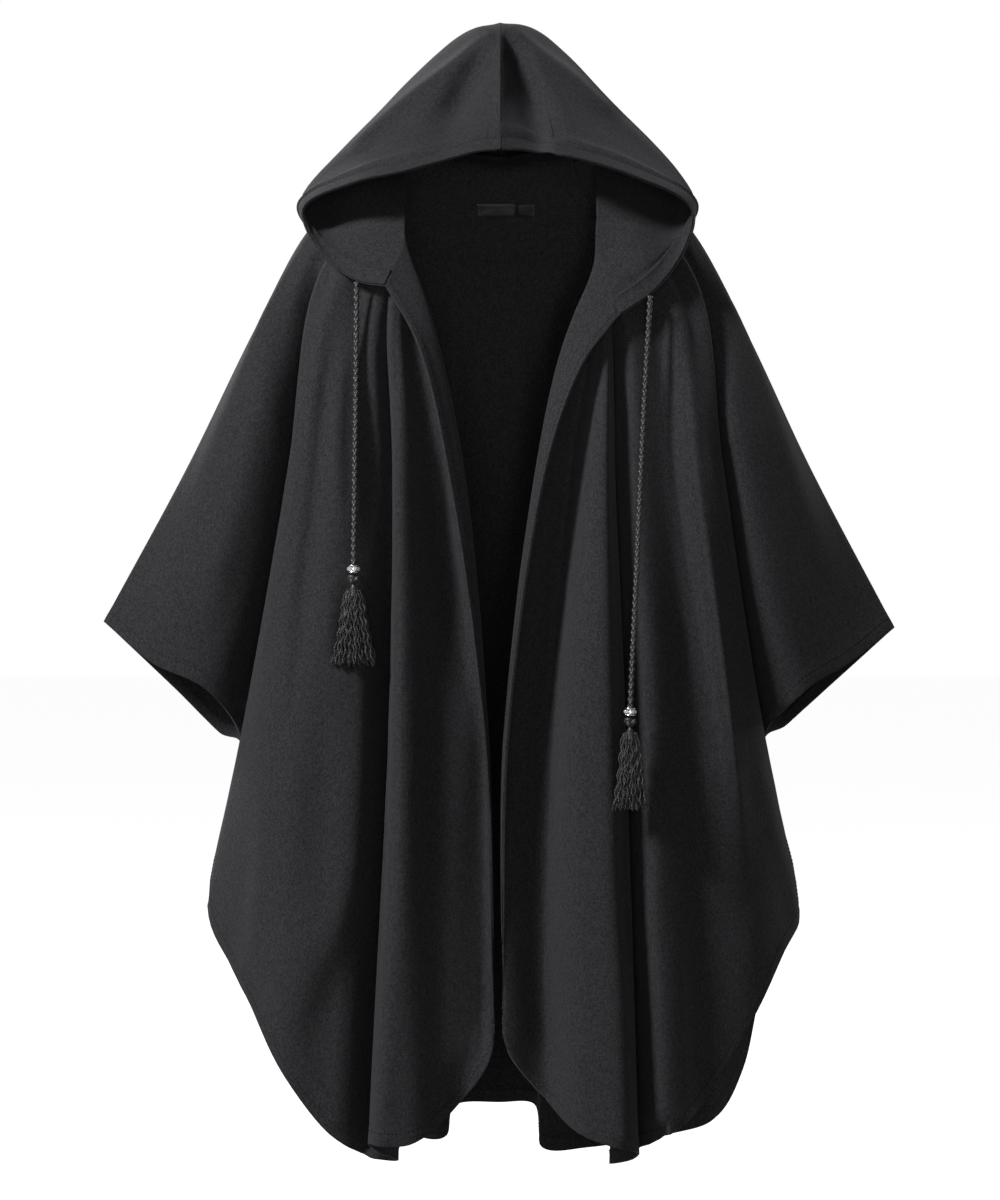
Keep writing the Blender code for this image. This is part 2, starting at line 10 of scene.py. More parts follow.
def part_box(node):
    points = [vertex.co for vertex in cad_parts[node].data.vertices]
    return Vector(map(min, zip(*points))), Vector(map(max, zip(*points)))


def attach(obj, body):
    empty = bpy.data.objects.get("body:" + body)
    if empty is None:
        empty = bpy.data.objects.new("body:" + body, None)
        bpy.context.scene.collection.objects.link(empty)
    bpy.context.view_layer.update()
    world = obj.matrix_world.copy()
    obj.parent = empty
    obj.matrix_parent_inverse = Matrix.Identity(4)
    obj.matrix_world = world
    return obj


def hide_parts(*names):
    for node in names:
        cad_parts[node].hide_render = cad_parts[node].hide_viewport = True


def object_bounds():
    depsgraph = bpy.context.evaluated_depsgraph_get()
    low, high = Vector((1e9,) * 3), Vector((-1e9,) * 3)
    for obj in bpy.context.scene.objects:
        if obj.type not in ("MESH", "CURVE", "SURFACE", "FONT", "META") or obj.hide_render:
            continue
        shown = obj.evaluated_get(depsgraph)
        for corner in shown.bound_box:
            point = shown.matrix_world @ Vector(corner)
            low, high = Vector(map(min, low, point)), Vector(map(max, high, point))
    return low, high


# A long hooded poncho in black felted wool, open down the front, hanging filled out and empty.
# Metres, +Z up. The front faces -Y, and -X is the wearer's right.
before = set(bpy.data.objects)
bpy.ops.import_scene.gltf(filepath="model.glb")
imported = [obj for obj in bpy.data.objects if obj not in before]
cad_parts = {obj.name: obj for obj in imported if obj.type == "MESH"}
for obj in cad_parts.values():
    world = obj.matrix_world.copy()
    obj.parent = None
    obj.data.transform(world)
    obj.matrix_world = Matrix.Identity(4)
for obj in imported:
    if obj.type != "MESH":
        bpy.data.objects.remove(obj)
cad_low, cad_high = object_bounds()


# The view, the floor and the light. The camera looks straight at the garment's middle, four metres off.
# A soft lamp stands high on the viewer's left and a weak one beside the camera, a narrow spot reaches in
# under the hood, and two lamps stand behind. Floor and backdrop look white but give the cloth little light.
VIEW_DISTANCE = 4.0
VIEW_LEVEL = -0.477
VIEW_HEIGHT = 1.38
FILM_HEIGHT = 36
FLOOR_DROP = 0.10
FLOOR_HALF_WIDTH = 30.0
FLOOR_SEEN = 0.96
BACKDROP_SEEN = 1.0
PAPER_LIGHT = 0.05
GARMENT_MIDDLE = (0, 0, -0.45)
NECK_SPOT_PLACE = (0.25, -3.9, -0.9)
NECK_SPOT_AIM = (0, 0.1, -0.16)

# Each soft lamp's name, place, width and power.
LAMPS = (
    ("key", (-3.2, -2.75, 2.5), 0.9, 300),
    ("front", (-0.1, -3.9, -0.3), 1.2, 15),
    ("rear_left", (-2.2, 3.4, 1.8), 1.4, 110),
    ("rear_right", (3.0, 2.2, 1.2), 1.6, 50),
)


def add_camera():
    camera = bpy.data.cameras.new("camera")
    camera.sensor_fit = "VERTICAL"
    camera.sensor_height = FILM_HEIGHT
    camera.lens = FILM_HEIGHT * VIEW_DISTANCE / VIEW_HEIGHT
    stand = bpy.data.objects.new("camera", camera)
    stand.location = (0, -VIEW_DISTANCE, VIEW_LEVEL)
    stand.rotation_euler = (math.radians(90), 0, 0)
    bpy.context.scene.collection.objects.link(stand)
    bpy.context.scene.camera = stand


def set_up_lamp(lamp, place, aim):
    stand = bpy.data.objects.new(lamp.name, lamp)
    stand.location = place
    stand.rotation_mode = "QUATERNION"
    stand.rotation_quaternion = (Vector(aim) - Vector(place)).to_track_quat("-Z", "Y")
    bpy.context.scene.collection.objects.link(stand)


def add_soft_lamp(name, place, width, power):
    lamp = bpy.data.lights.new(name, "AREA")
    lamp.shape = "SQUARE"
    lamp.size = width
    lamp.energy = power
    set_up_lamp(lamp, place, GARMENT_MIDDLE)


def add_neck_spot():
    """A narrow soft spot from below the lens, which reaches in under the hood."""
    lamp = bpy.data.lights.new("neck", "SPOT")
    lamp.spot_size = math.radians(9)
    lamp.spot_blend = 1.0
    lamp.shadow_soft_size = 0.25
    lamp.energy = 110
    set_up_lamp(lamp, NECK_SPOT_PLACE, NECK_SPOT_AIM)


def seen_and_given(tree, seen, given):
    """A strength that the camera sees as one number, while the garment is lit by the other."""
    path = tree.nodes.new("ShaderNodeLightPath")
    strength = tree.nodes.new("ShaderNodeMapRange")
    strength.inputs["To Min"].default_value = given
    strength.inputs["To Max"].default_value = seen
    tree.links.new(path.outputs["Is Camera Ray"], strength.inputs["Value"])
    return strength.outputs["Result"]


def add_floor():
    half = FLOOR_HALF_WIDTH
    level = cad_low.z - FLOOR_DROP
    mesh = bpy.data.meshes.new("floor")
    corners = [(-half, -half, level), (half, -half, level), (half, half, level), (-half, half, level)]
    mesh.from_pydata(corners, [], [(0, 1, 2, 3)])
    paper = bpy.data.materials.new("pale_floor")
    paper.use_nodes = True
    tree = paper.node_tree
    shader = tree.nodes["Principled BSDF"]
    shader.inputs["Base Color"].default_value = (0.3, 0.3, 0.3, 1)
    shader.inputs["Roughness"].default_value = 0.9
    shader.inputs["Specular IOR Level"].default_value = 0.0
    shader.inputs["Emission Color"].default_value = (1, 1, 1, 1)
    tree.links.new(seen_and_given(tree, FLOOR_SEEN, PAPER_LIGHT), shader.inputs["Emission Strength"])
    mesh.materials.append(paper)
    floor = bpy.data.objects.new("floor", mesh)
    bpy.context.scene.collection.objects.link(floor)


def add_backdrop():
    world = bpy.data.worlds.new("studio")
    world.use_nodes = True
    tree = world.node_tree
    background = tree.nodes["Background"]
    background.inputs["Color"].default_value = (1, 1, 1, 1)
    tree.links.new(seen_and_given(tree, BACKDROP_SEEN, PAPER_LIGHT), background.inputs["Strength"])
    bpy.context.scene.world = world
    bpy.context.scene.view_settings.view_transform = "Standard"


add_camera()
add_floor()
add_backdrop()
for lamp_row in LAMPS:
    add_soft_lamp(*lamp_row)
add_neck_spot()


# The drawcord's two hanging ends: round satin cord, plaited from four strands, out of the hood's casing.
# Each falls straight down the front and ends in a metal bead, a stopper knot and a tassel.
CORD_DIAMETER = 0.0065
PLAIT_LENGTH = 0.0165
PLAIT_STEP = 0.0009
STRAND_RADIUS = 0.0017
STRAND_SIDES = 8
STRAND_INSET = 0.0003
STRAND_WAVE = 0.0005
CORD_ROUTES = {
    "right": (
        (-0.1605, -0.1057, -0.1213), (-0.161, -0.113, -0.240), (-0.162, -0.127, -0.360),
        (-0.1625, -0.138, -0.430), (-0.1625, -0.139, -0.448),
    ),
    "left": (
        (0.168, -0.1095, -0.137), (0.160, -0.122, -0.276), (0.152, -0.145, -0.432),
        (0.144, -0.168, -0.586), (0.1435, -0.169, -0.6055),
    ),
}


def stride(a, b):
    return np.sqrt(np.maximum(np.linalg.norm(b - a, axis=-1, keepdims=True), 1e-6))


def smooth_path(points, steps):
    """Points on a centripetal Catmull-Rom curve. Each given point may also be a whole row of points."""
    points = np.asarray(points, float)
    knots = [2 * points[0] - points[1], *points, 2 * points[-1] - points[-2]]
    path = [points[0]]
    for a, b, c, d in zip(knots, knots[1:], knots[2:], knots[3:]):
        t1 = stride(a, b)
        t2 = t1 + stride(b, c)
        t3 = t2 + stride(c, d)
        for step in range(1, steps + 1):
            t = t1 + (t2 - t1) * step / steps
            ab = a + (b - a) * t / t1
            bc = b + (c - b) * (t - t1) / (t2 - t1)
            cd = c + (d - c) * (t - t2) / (t3 - t2)
            abc = ab + (bc - ab) * t / t2
            bcd = bc + (cd - bc) * (t - t1) / (t3 - t1)
            path.append(abc + (bcd - abc) * (t - t1) / (t2 - t1))
    return np.array(path)


def reaches(path):
    """How far along a path each of its points lies."""
    return np.concatenate([[0.0], np.cumsum(np.linalg.norm(np.diff(path, axis=0), axis=1))])


def along(path, distances):
    """The points of a path at these distances from its start."""
    reach = reaches(path)
    return np.stack([np.interp(distances, reach, path[:, axis]) for axis in range(3)], axis=1)


def ways_round(path):
    """Unit vectors beside and across a path that never runs along Y."""
    ways = np.gradient(path, axis=0)
    ways /= np.linalg.norm(ways, axis=1, keepdims=True)
    beside = np.cross(ways, (0.0, 1.0, 0.0))
    beside /= np.linalg.norm(beside, axis=1, keepdims=True)
    return beside, np.cross(beside, ways)


def out_from(path, turn):
    """The way out from each point of a path, at that point's own turn round it."""
    beside, across = ways_round(path)
    return beside * np.cos(turn)[:, None] + across * np.sin(turn)[:, None]


def rings_round(path, beside, across, radius, sides):
    """A ring of points round each point of a path."""
    turns = np.arange(sides) * math.tau / sides
    ways = beside[:, None] * np.cos(turns)[:, None] + across[:, None] * np.sin(turns)[:, None]
    radius = np.broadcast_to(radius, (len(path), sides))
    return (path[:, None] + ways * radius[..., None]).reshape(-1, 3)


def ring_faces(rings, sides, closed=False):
    """Faces from each ring to the next; closed also joins the last ring to the first."""
    faces = []
    for ring in range(rings if closed else rings - 1):
        low = ring * sides
        high = (ring + 1) % rings * sides
        for side in range(sides):
            after = (side + 1) % sides
            faces.append((low + side, low + after, high + after, high + side))
    return faces


def tube(path, radius, sides):
    """Points and faces of a closed tube; radius is a number or one value for each point of the path."""
    radius = np.broadcast_to(radius, len(path))[:, None]
    points = rings_round(path, *ways_round(path), radius, sides)
    ends = [tuple(reversed(range(sides))), tuple(range(len(points) - sides, len(points)))]
    return points, ring_faces(len(path), sides) + ends


def joined_mesh(name, parts, smooth=True):
    """One mesh out of several lists of points and faces."""
    points = []
    faces = []
    for part_points, part_faces in parts:
        first = len(points)
        points += [tuple(point) for point in part_points]
        faces += [tuple(first + corner for corner in face) for face in part_faces]
    mesh = bpy.data.meshes.new(name)
    mesh.from_pydata(points, [], faces)
    if smooth:
        mesh.shade_smooth()
    return mesh


def add_piece(mesh, material, slot, *nodes):
    """Puts a piece on the garment's one body, in place of these solids."""
    thing = bpy.data.objects.new(mesh.name, mesh)
    mesh.materials.append(material)
    bpy.context.scene.collection.objects.link(thing)
    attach(thing, "root")
    if nodes:
        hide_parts(*nodes)
    return thing


def new_material(name, colour, roughness, metallic=0.0):
    material = bpy.data.materials.new(name)
    material.use_nodes = True
    shader = material.node_tree.nodes["Principled BSDF"]
    shader.inputs["Base Color"].default_value = (*colour, 1)
    shader.inputs["Roughness"].default_value = roughness
    shader.inputs["Metallic"].default_value = metallic
    return material, material.node_tree, shader


def add_noise(tree, scale, detail, stretch=(1, 1, 1)):
    """A noise texture on the garment's own coordinates, drawn out along an axis by a stretch below one."""
    place = tree.nodes.new("ShaderNodeTexCoord")
    mapping = tree.nodes.new("ShaderNodeMapping")
    mapping.inputs["Scale"].default_value = stretch
    noise = tree.nodes.new("ShaderNodeTexNoise")
    noise.inputs["Scale"].default_value = scale
    noise.inputs["Detail"].default_value = detail
    tree.links.new(place.outputs["Object"], mapping.inputs["Vector"])
    tree.links.new(mapping.outputs["Vector"], noise.inputs["Vector"])
    return noise


def add_ramp(tree, source, stops):
    ramp = tree.nodes.new("ShaderNodeValToRGB")
    ramp.color_ramp.elements[0].position = stops[0][0]
    ramp.color_ramp.elements[0].color = (*stops[0][1], 1)
    ramp.color_ramp.elements[1].position = stops[-1][0]
    ramp.color_ramp.elements[1].color = (*stops[-1][1], 1)
    for place, colour in stops[1:-1]:
        ramp.color_ramp.elements.new(place).color = (*colour, 1)
    tree.links.new(source, ramp.inputs["Fac"])
    return ramp


def add_bump(tree, shader, source, distance, strength, under=None):
    bump = tree.nodes.new("ShaderNodeBump")
    bump.inputs["Distance"].default_value = distance
    bump.inputs["Strength"].default_value = strength
    tree.links.new(source, bump.inputs["Height"])
    if under:
        tree.links.new(under.outputs["Normal"], bump.inputs["Normal"])
    tree.links.new(bump.outputs["Normal"], shader.inputs["Normal"])
    return bump


def satin_thread(name, light, roughness, gloss=0.7):
    """Black twisted yarn with a satin gleam: its fine plies show as streaks, with painted shade in the
    hollows between them.
    """
    material, tree, shader = new_material(name, (light, light, light), roughness)
    shader.inputs["Specular IOR Level"].default_value = gloss
    shader.inputs["Sheen Weight"].default_value = 0.05
    plies = add_noise(tree, 2600, 2, (1, 1, 0.4))
    # Painted shade: the colour drops to about half where the ply bump is low, in the hollows between the
    # plies.
    ply_hollow_shade = (light * 0.55,) * 3
    on_top = (light, light, light * 1.06)
    ramp = add_ramp(tree, plies.outputs["Fac"], ((0.35, ply_hollow_shade), (0.7, on_top)))
    tree.links.new(ramp.outputs["Color"], shader.inputs["Base Color"])
    add_bump(tree, shader, plies.outputs["Fac"], 0.0003, 0.5)
    return material


def plait(route):
    """Four strands round one another, two each way, passing over and under by turns."""
    path = smooth_path(route, 24)
    length = reaches(path)[-1]
    places = np.linspace(0, length, int(length / PLAIT_STEP))
    centre = along(path, places)
    strands = []
    for way in (1, -1):
        for start in (0.0, math.pi):
            turn = way * places * math.tau / PLAIT_LENGTH + start
            radius = CORD_DIAMETER / 2 - STRAND_RADIUS - STRAND_INSET + way * STRAND_WAVE * np.cos(2 * turn)
            line = centre + radius[:, None] * out_from(centre, turn)
            strands.append(tube(line, STRAND_RADIUS, STRAND_SIDES))
    return strands, centre


cord_satin = satin_thread("cord_satin", 0.03, 0.42)
cord_pieces = {}
for side, route in CORD_ROUTES.items():
    strands, centre = plait(route)
    mesh = joined_mesh(f"drawcord_{side}_plait", strands)
    cord_pieces[side] = {"cord": add_piece(mesh, cord_satin, "cord", f"drawcord_{side}"), "centre": centre}


# The beads: small silver rondelles. Two polished metal rims hold a row of cut glass stones between them.
# The cord runs through the middle and the stopper knot holds the bead up.
BEAD_RADIUS = 0.0072
BEAD_HEIGHT = 0.009
BEAD_HOLE = 0.0037
RIM_LIP = 0.0004
RIM_SIDES = 36
CORE_RADIUS = BEAD_RADIUS * 0.66
CORE_HALF_HEIGHT = 0.0026
STONES = 12
STONE_SIDES = 8
STONE_HALF_WIDTH = 0.0017
STONE_STRETCH = 1.25


def lathe(centre, profile):
    """A closed ring turned about an upright axis, through pairs of radius and height."""
    points = []
    for radius, height in profile:
        for side in range(RIM_SIDES):
            turn = math.tau * side / RIM_SIDES
            out = Vector((radius * math.cos(turn), radius * math.sin(turn), height))
            points.append(centre + out)
    return points, [face[::-1] for face in ring_faces(len(profile), RIM_SIDES, True)]


def bead_rims(centre):
    parts = []
    for way in (1, -1):
        top = way * BEAD_HEIGHT / 2
        bottom = way * BEAD_HEIGHT * 0.27
        profile = [
            (BEAD_HOLE, top), (BEAD_RADIUS * 0.72, top), (BEAD_RADIUS * 0.84, top - way * RIM_LIP),
            (BEAD_RADIUS * 0.88, (top + bottom) / 2), (BEAD_RADIUS * 0.84, bottom + way * RIM_LIP * 0.75),
            (BEAD_RADIUS * 0.72, bottom), (BEAD_HOLE, bottom),
        ]
        parts.append(lathe(centre, profile[::way]))
    core = [(BEAD_HOLE, CORE_HALF_HEIGHT), (CORE_RADIUS, CORE_HALF_HEIGHT)]
    core += [(CORE_RADIUS, -CORE_HALF_HEIGHT), (BEAD_HOLE, -CORE_HALF_HEIGHT)]
    parts.append(lathe(centre, core))
    return parts


def bead_stones(centre):
    """Cut stones round the bead: a table facing out, a girdle and a point towards the middle."""
    parts = []
    up = Vector((0, 0, STONE_STRETCH))
    for stone in range(STONES):
        turn = math.tau * stone / STONES
        out = Vector((math.cos(turn), math.sin(turn), 0))
        side = Vector((-math.sin(turn), math.cos(turn), 0))
        points = []
        for reach, size in ((0.99, 0.55), (0.90, 1.0), (0.66, 0.6)):
            for corner in range(STONE_SIDES):
                angle = math.tau * (corner + 0.5) / STONE_SIDES
                flat = side * math.cos(angle) + up * math.sin(angle)
                points.append(centre + out * BEAD_RADIUS * reach + flat * STONE_HALF_WIDTH * size)
        faces = [face[::-1] for face in ring_faces(3, STONE_SIDES)]
        faces += [tuple(range(STONE_SIDES)), tuple(reversed(range(2 * STONE_SIDES, 3 * STONE_SIDES)))]
        parts.append((points, faces))
    return parts


def polished(name, colour, roughness, metallic, coat):
    """A bright finish with very fine scratches."""
    material, tree, shader = new_material(name, colour, roughness, metallic)
    shader.inputs["Coat Weight"].default_value = coat
    scratches = add_noise(tree, 3000, 2)
    add_bump(tree, shader, scratches.outputs["Fac"], 0.00005, 0.2)
    return material


silver = polished("bead_silver", (0.82, 0.82, 0.84), 0.22, 1.0, 0.0)
glass = polished("bead_glass", (0.93, 0.94, 0.97), 0.06, 0.55, 1.0)
for side, made in cord_pieces.items():
    low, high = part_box(f"bead_{side}")
    centre = (low + high) / 2
    rims = joined_mesh(f"bead_{side}_rims", bead_rims(centre), False)
    made["rims"] = add_piece(rims, silver, "silver", f"bead_{side}")
    stones = joined_mesh(f"bead_{side}_stones", bead_stones(centre), False)
    made["stones"] = add_piece(stones, glass, "silver")


# The stopper knots: the cord itself tied in an overhand knot under each bead, pulled tight.
# The plaited strands wind over one another, so the lump shows two slanting turns.
KNOT_TURN = 0.0046
KNOT_DEPTH = 0.00234
KNOT_FLATTENING = 0.72
KNOT_POINTS = 96
KNOT_CORD_RADIUS = 0.0027
KNOT_SIDES = 12
KNOT_STRANDS = 3
KNOT_TWISTS = 24
STRAND_RELIEF = 0.16


def knot_path(centre):
    """A trefoil squeezed into the room between the bead and the tassel."""
    turns = np.arange(KNOT_POINTS) * math.tau / KNOT_POINTS
    x = (np.sin(turns) + 2 * np.sin(2 * turns)) * KNOT_TURN / 3
    z = (np.cos(turns) - 2 * np.cos(2 * turns)) * KNOT_TURN / 3
    y = -np.sin(3 * turns) * KNOT_DEPTH
    return np.stack([centre.x + x, centre.y + y, centre.z + z * KNOT_FLATTENING], axis=1)


def knotted_cord(path):
    """A cord whose path closes on itself, with its strands twisted along it."""
    ways = np.roll(path, -1, axis=0) - np.roll(path, 1, axis=0)
    ways /= np.linalg.norm(ways, axis=1, keepdims=True)
    out = path - path.mean(axis=0)
    out -= ways * (out * ways).sum(axis=1, keepdims=True)
    out /= np.linalg.norm(out, axis=1, keepdims=True)
    turns = np.arange(KNOT_SIDES) * math.tau / KNOT_SIDES
    twist = np.arange(len(path))[:, None] / len(path) * KNOT_TWISTS * math.tau
    radius = KNOT_CORD_RADIUS * (1 + STRAND_RELIEF * np.cos(KNOT_STRANDS * turns + twist))
    points = rings_round(path, out, np.cross(ways, out), radius, KNOT_SIDES)
    return points, ring_faces(len(path), KNOT_SIDES, True)


for side, made in cord_pieces.items():
    low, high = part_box(f"knot_{side}")
    knot = joined_mesh(f"knot_{side}_turns", [knotted_cord(knot_path((low + high) / 2))])
    made["knot"] = add_piece(knot, cord_satin, "cord", f"knot_{side}")


# The tassels: skirts of crinkled two-ply thread, gathered and whipped round under each knot.
# The threads are cut by hand, so they end unevenly, and they spread as they fall.
THREADS = 64
THREAD_POINTS = 44
THREAD_TURN = 2.39996
PLY_RADIUS = 0.00066
PLY_PITCH = 0.0058
GATHER_WIDTH = 0.0075
GATHER_DEPTH = 0.0055
GATHER_DROP = 0.0065
HEM_GAP = 0.007
UNEVEN_CUT = 0.011
HEAD_LENGTH = 0.014
HEAD_DROPS = (0, 0.003, 0.006, 0.009, HEAD_LENGTH)
HEAD_RADII = (0.0024, 0.0031, 0.0050, 0.0062, 0.0068)
WHIPPING_TURNS = 7
WHIPPING_RADIUS = 0.0005
WHIPPING_SIDES = 5


def tassel_threads(low, high, seed):
    """Two-ply threads from the head down to the hem of the tassel, each with its own waves."""
    rng = random.Random(seed)
    centre = (low + high) / 2
    reach_x = (high.x - low.x) / 2 * 0.94
    reach_y = (high.y - low.y) / 2 * 0.90
    downs = np.linspace(0, 1, THREAD_POINTS)
    spread = 0.25 * np.sin(np.minimum(downs * 6, 1) * math.pi / 2) + 0.75 * downs**1.7
    loose = np.minimum(downs * 4, 1) * (0.0014 - 0.0005 * downs)
    parts = []
    for index in range(THREADS):
        turn = index * THREAD_TURN
        share = math.sqrt((index + 0.5) / THREADS)
        length = high.z - low.z - HEM_GAP - rng.uniform(0, UNEVEN_CUT)
        pitch = rng.uniform(0.012, 0.019)
        phase = rng.uniform(0, math.tau)
        x = centre.x + share * math.cos(turn) * (GATHER_WIDTH + (reach_x - GATHER_WIDTH) * spread)
        y = centre.y + share * math.sin(turn) * (GATHER_DEPTH + (reach_y - GATHER_DEPTH) * spread)
        z = high.z - GATHER_DROP - downs * length
        x = x + loose * np.sin(math.tau * z / pitch + phase)
        y = y + loose * 0.8 * np.cos(math.tau * z / (pitch * 1.2) + phase)
        path = np.stack([x, y, z], axis=1)
        for ply in (0.0, math.pi):
            out = out_from(path, math.tau * reaches(path) / PLY_PITCH + ply)
            parts.append(tube(path + out * PLY_RADIUS * 0.9, PLY_RADIUS, 4))
    return parts


def whipping(low, high):
    """The neck of the tassel, and the thread wound round it."""
    centre = (low + high) / 2
    top = np.array((centre.x, centre.y, high.z))
    down = np.array((0.0, 0.0, -1.0))
    drops = np.linspace(0, HEAD_LENGTH, 12)
    core = top + drops[:, None] * down
    neck = tube(core, np.interp(drops, HEAD_DROPS, HEAD_RADII) * 0.94, 20)
    turns = np.linspace(0, math.tau * WHIPPING_TURNS, WHIPPING_TURNS * 24)
    drops = np.linspace(0.0035, 0.0085, len(turns))
    reach = np.interp(drops, HEAD_DROPS, HEAD_RADII)
    outs = np.stack([np.cos(turns), np.sin(turns), np.zeros(len(turns))], axis=1)
    line = top + drops[:, None] * down + outs * reach[:, None]
    ups = np.broadcast_to((0.0, 0.0, 1.0), line.shape)
    winding = rings_round(line, outs, ups, WHIPPING_RADIUS, WHIPPING_SIDES)
    return [neck, (winding, ring_faces(len(line), WHIPPING_SIDES))]


tassel_thread = satin_thread("tassel_thread", 0.024, 0.45)
for seed, (side, made) in enumerate(cord_pieces.items(), 3):
    low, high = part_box(f"tassel_{side}")
    skirt = joined_mesh(f"tassel_{side}_threads", tassel_threads(low, high, seed) + whipping(low, high))
    made["tassel"] = add_piece(skirt, tassel_thread, "thread", f"tassel_{side}")


# The body: two fronts and a back in thick felted wool, cut wide so that the sides form batwing sleeves.
# They join over the arms and down the short side seams; front edges and hems are turned in and topstitched.
MM = 0.001
CLOTH = 0.0020
TURNED_CLOTH = 0.0034
EDGE_ROUNDING = 0.0007
HEM_DEPTH = 0.022
HEM_STITCHING = HEM_DEPTH * 0.66
STITCH_INSET = 0.0075
GROOVE_WIDTH = 0.0022
GROOVE_DEPTH = 0.0005
BODY_ROWS = 120
ROWS_CLOSER_AT_NECK = 1.25
STEPS_PER_FOLD = 9
SEAM_FADE = 0.06
SEAM_CLOSING = 0.0014
BEHIND_LIMIT = -0.004
ROOM_BESIDE_CORD = 0.003
ROOM_BEHIND_CORD = 0.0015
SLOPE_BESIDE_CORD = 0.7
SIDE_SEAM_FOLDS = ("side", "armpit")

# One row for each fold line of the wearer's right front, from the opening round to the top of the arm:
# where it passes the neck, shoulder, chest, hip and hem, in millimetres.
FRONT_RIGHT = (
    ("edge", (-127, -118, -127), (-91, -134, -194), (-58, -142, -333), (-18, -134, -627),
     (-6, -122, -960)),
    ("roll", (-108, -88, -75), (-78, -106, -158), (-41, -120, -332), (-14, -122, -628),
     (-13, -122, -994)),
    ("under lapel", (-108, -80, -62), (-99, -95, -168), (-72, -98, -331), (-43, -96, -629),
     (-46, -108, -1040)),
    ("ridge inner", (-108, -75, -53), (-114, -108, -158), (-107, -126, -332), (-108, -150, -626),
     (-100, -158, -1079)),
    ("ridge outer", (-108, -70, -43), (-125, -108, -155), (-119, -122, -332), (-124, -142, -627),
     (-145, -148, -1081)),
    ("turn", (-109, -66, -36), (-121, -82, -153), (-113, -88, -331), (-110, -88, -629),
     (-116, -86, -1108)),
    ("chest", (-109, -60, -28), (-137, -98, -154), (-133, -110, -332), (-140, -116, -628),
     (-156, -112, -1097)),
    ("cord valley", (-109, -52, -21), (-151, -88, -140), (-150, -102, -331), (-173, -120, -628),
     (-195, -116, -1069)),
    ("broad", (-109, -42, -13), (-175, -84, -126), (-199, -122, -332), (-228, -136, -627),
     (-243, -118, -1004)),
    ("broad outer", (-109, -34, -6), (-190, -77, -116), (-221, -115, -332), (-267, -105, -628),
     (-289, -70, -914)),
    ("side edge", (-110, -26, 1), (-202, -64, -106), (-237, -98, -331), (-292, -54, -630),
     (-335, -1.2, -829)),
    ("armpit turn", (-110, -14, 9), (-198, -38, -92), (-226, -46, -312), (-258, -38, -477),
     (-296, -1.2, -645)),
    ("arm inner", (-110, -6, 18), (-215, -28, -83), (-268, -50, -295), (-300, -50, -454),
     (-336, -40, -578)),
    ("arm middle", (-110, 2, 28), (-226, -18, -72), (-311, -38, -268), (-353, -42, -409),
     (-396, -31, -549)),
    ("overarm", (-111, 11, 38), (-212, 4, -42), (-279, -1.2, -162), (-358, -1.2, -323),
     (-455, -1.2, -502)),
)

# The same for the wearer's left front, whose folds fall a little differently.
FRONT_LEFT = (
    ("edge", (131, -118, -161), (92, -134, -215), (51, -142, -333), (9, -134, -627), (3, -126, -949)),
    ("roll", (114, -88, -90), (74, -108, -184), (41, -120, -332), (6, -124, -627), (9, -128, -980)),
    ("under lapel", (109, -80, -69), (101, -94, -191), (74, -96, -342), (50, -104, -628),
     (54, -114, -1038)),
    ("ridge inner", (109, -75, -55), (115, -108, -186), (105, -128, -343), (86, -152, -626),
     (93, -158, -1069)),
    ("ridge outer", (110, -70, -44), (123, -108, -186), (127, -126, -343), (137, -148, -627),
     (153, -150, -1091)),
    ("turn", (110, -66, -36), (126, -82, -184), (127, -86, -342), (135, -88, -629), (124, -90, -1110)),
    ("chest", (110, -60, -28), (144, -98, -176), (150, -110, -343), (165, -124, -627),
     (179, -116, -1078)),
    ("soft valley", (110, -52, -21), (171, -84, -160), (188, -96, -342), (213, -100, -628),
     (225, -94, -1041)),
    ("broad", (110, -42, -13), (189, -82, -139), (215, -114, -343), (255, -114, -628), (280, -80, -957)),
    ("broad outer", (110, -34, -6), (203, -70, -122), (233, -104, -331), (277, -84, -629),
     (320, -44, -882)),
    ("side edge", (111, -26, 1), (218, -60, -109), (250, -92, -331), (298, -52, -630), (343, -1.2, -834)),
    ("armpit turn", (111, -14, 9), (211, -38, -92), (236, -44, -312), (268, -38, -477),
     (302, -1.2, -641)),
    ("arm inner", (111, -6, 18), (219, -28, -83), (275, -50, -295), (306, -50, -449), (346, -40, -579)),
    ("arm middle", (112, 2, 28), (227, -18, -72), (312, -38, -268), (354, -42, -409), (398, -32, -549)),
    ("overarm", (111, 11, 38), (212, 4, -42), (279, -1.2, -162), (356, -1.2, -325), (453, -1.2, -509)),
)

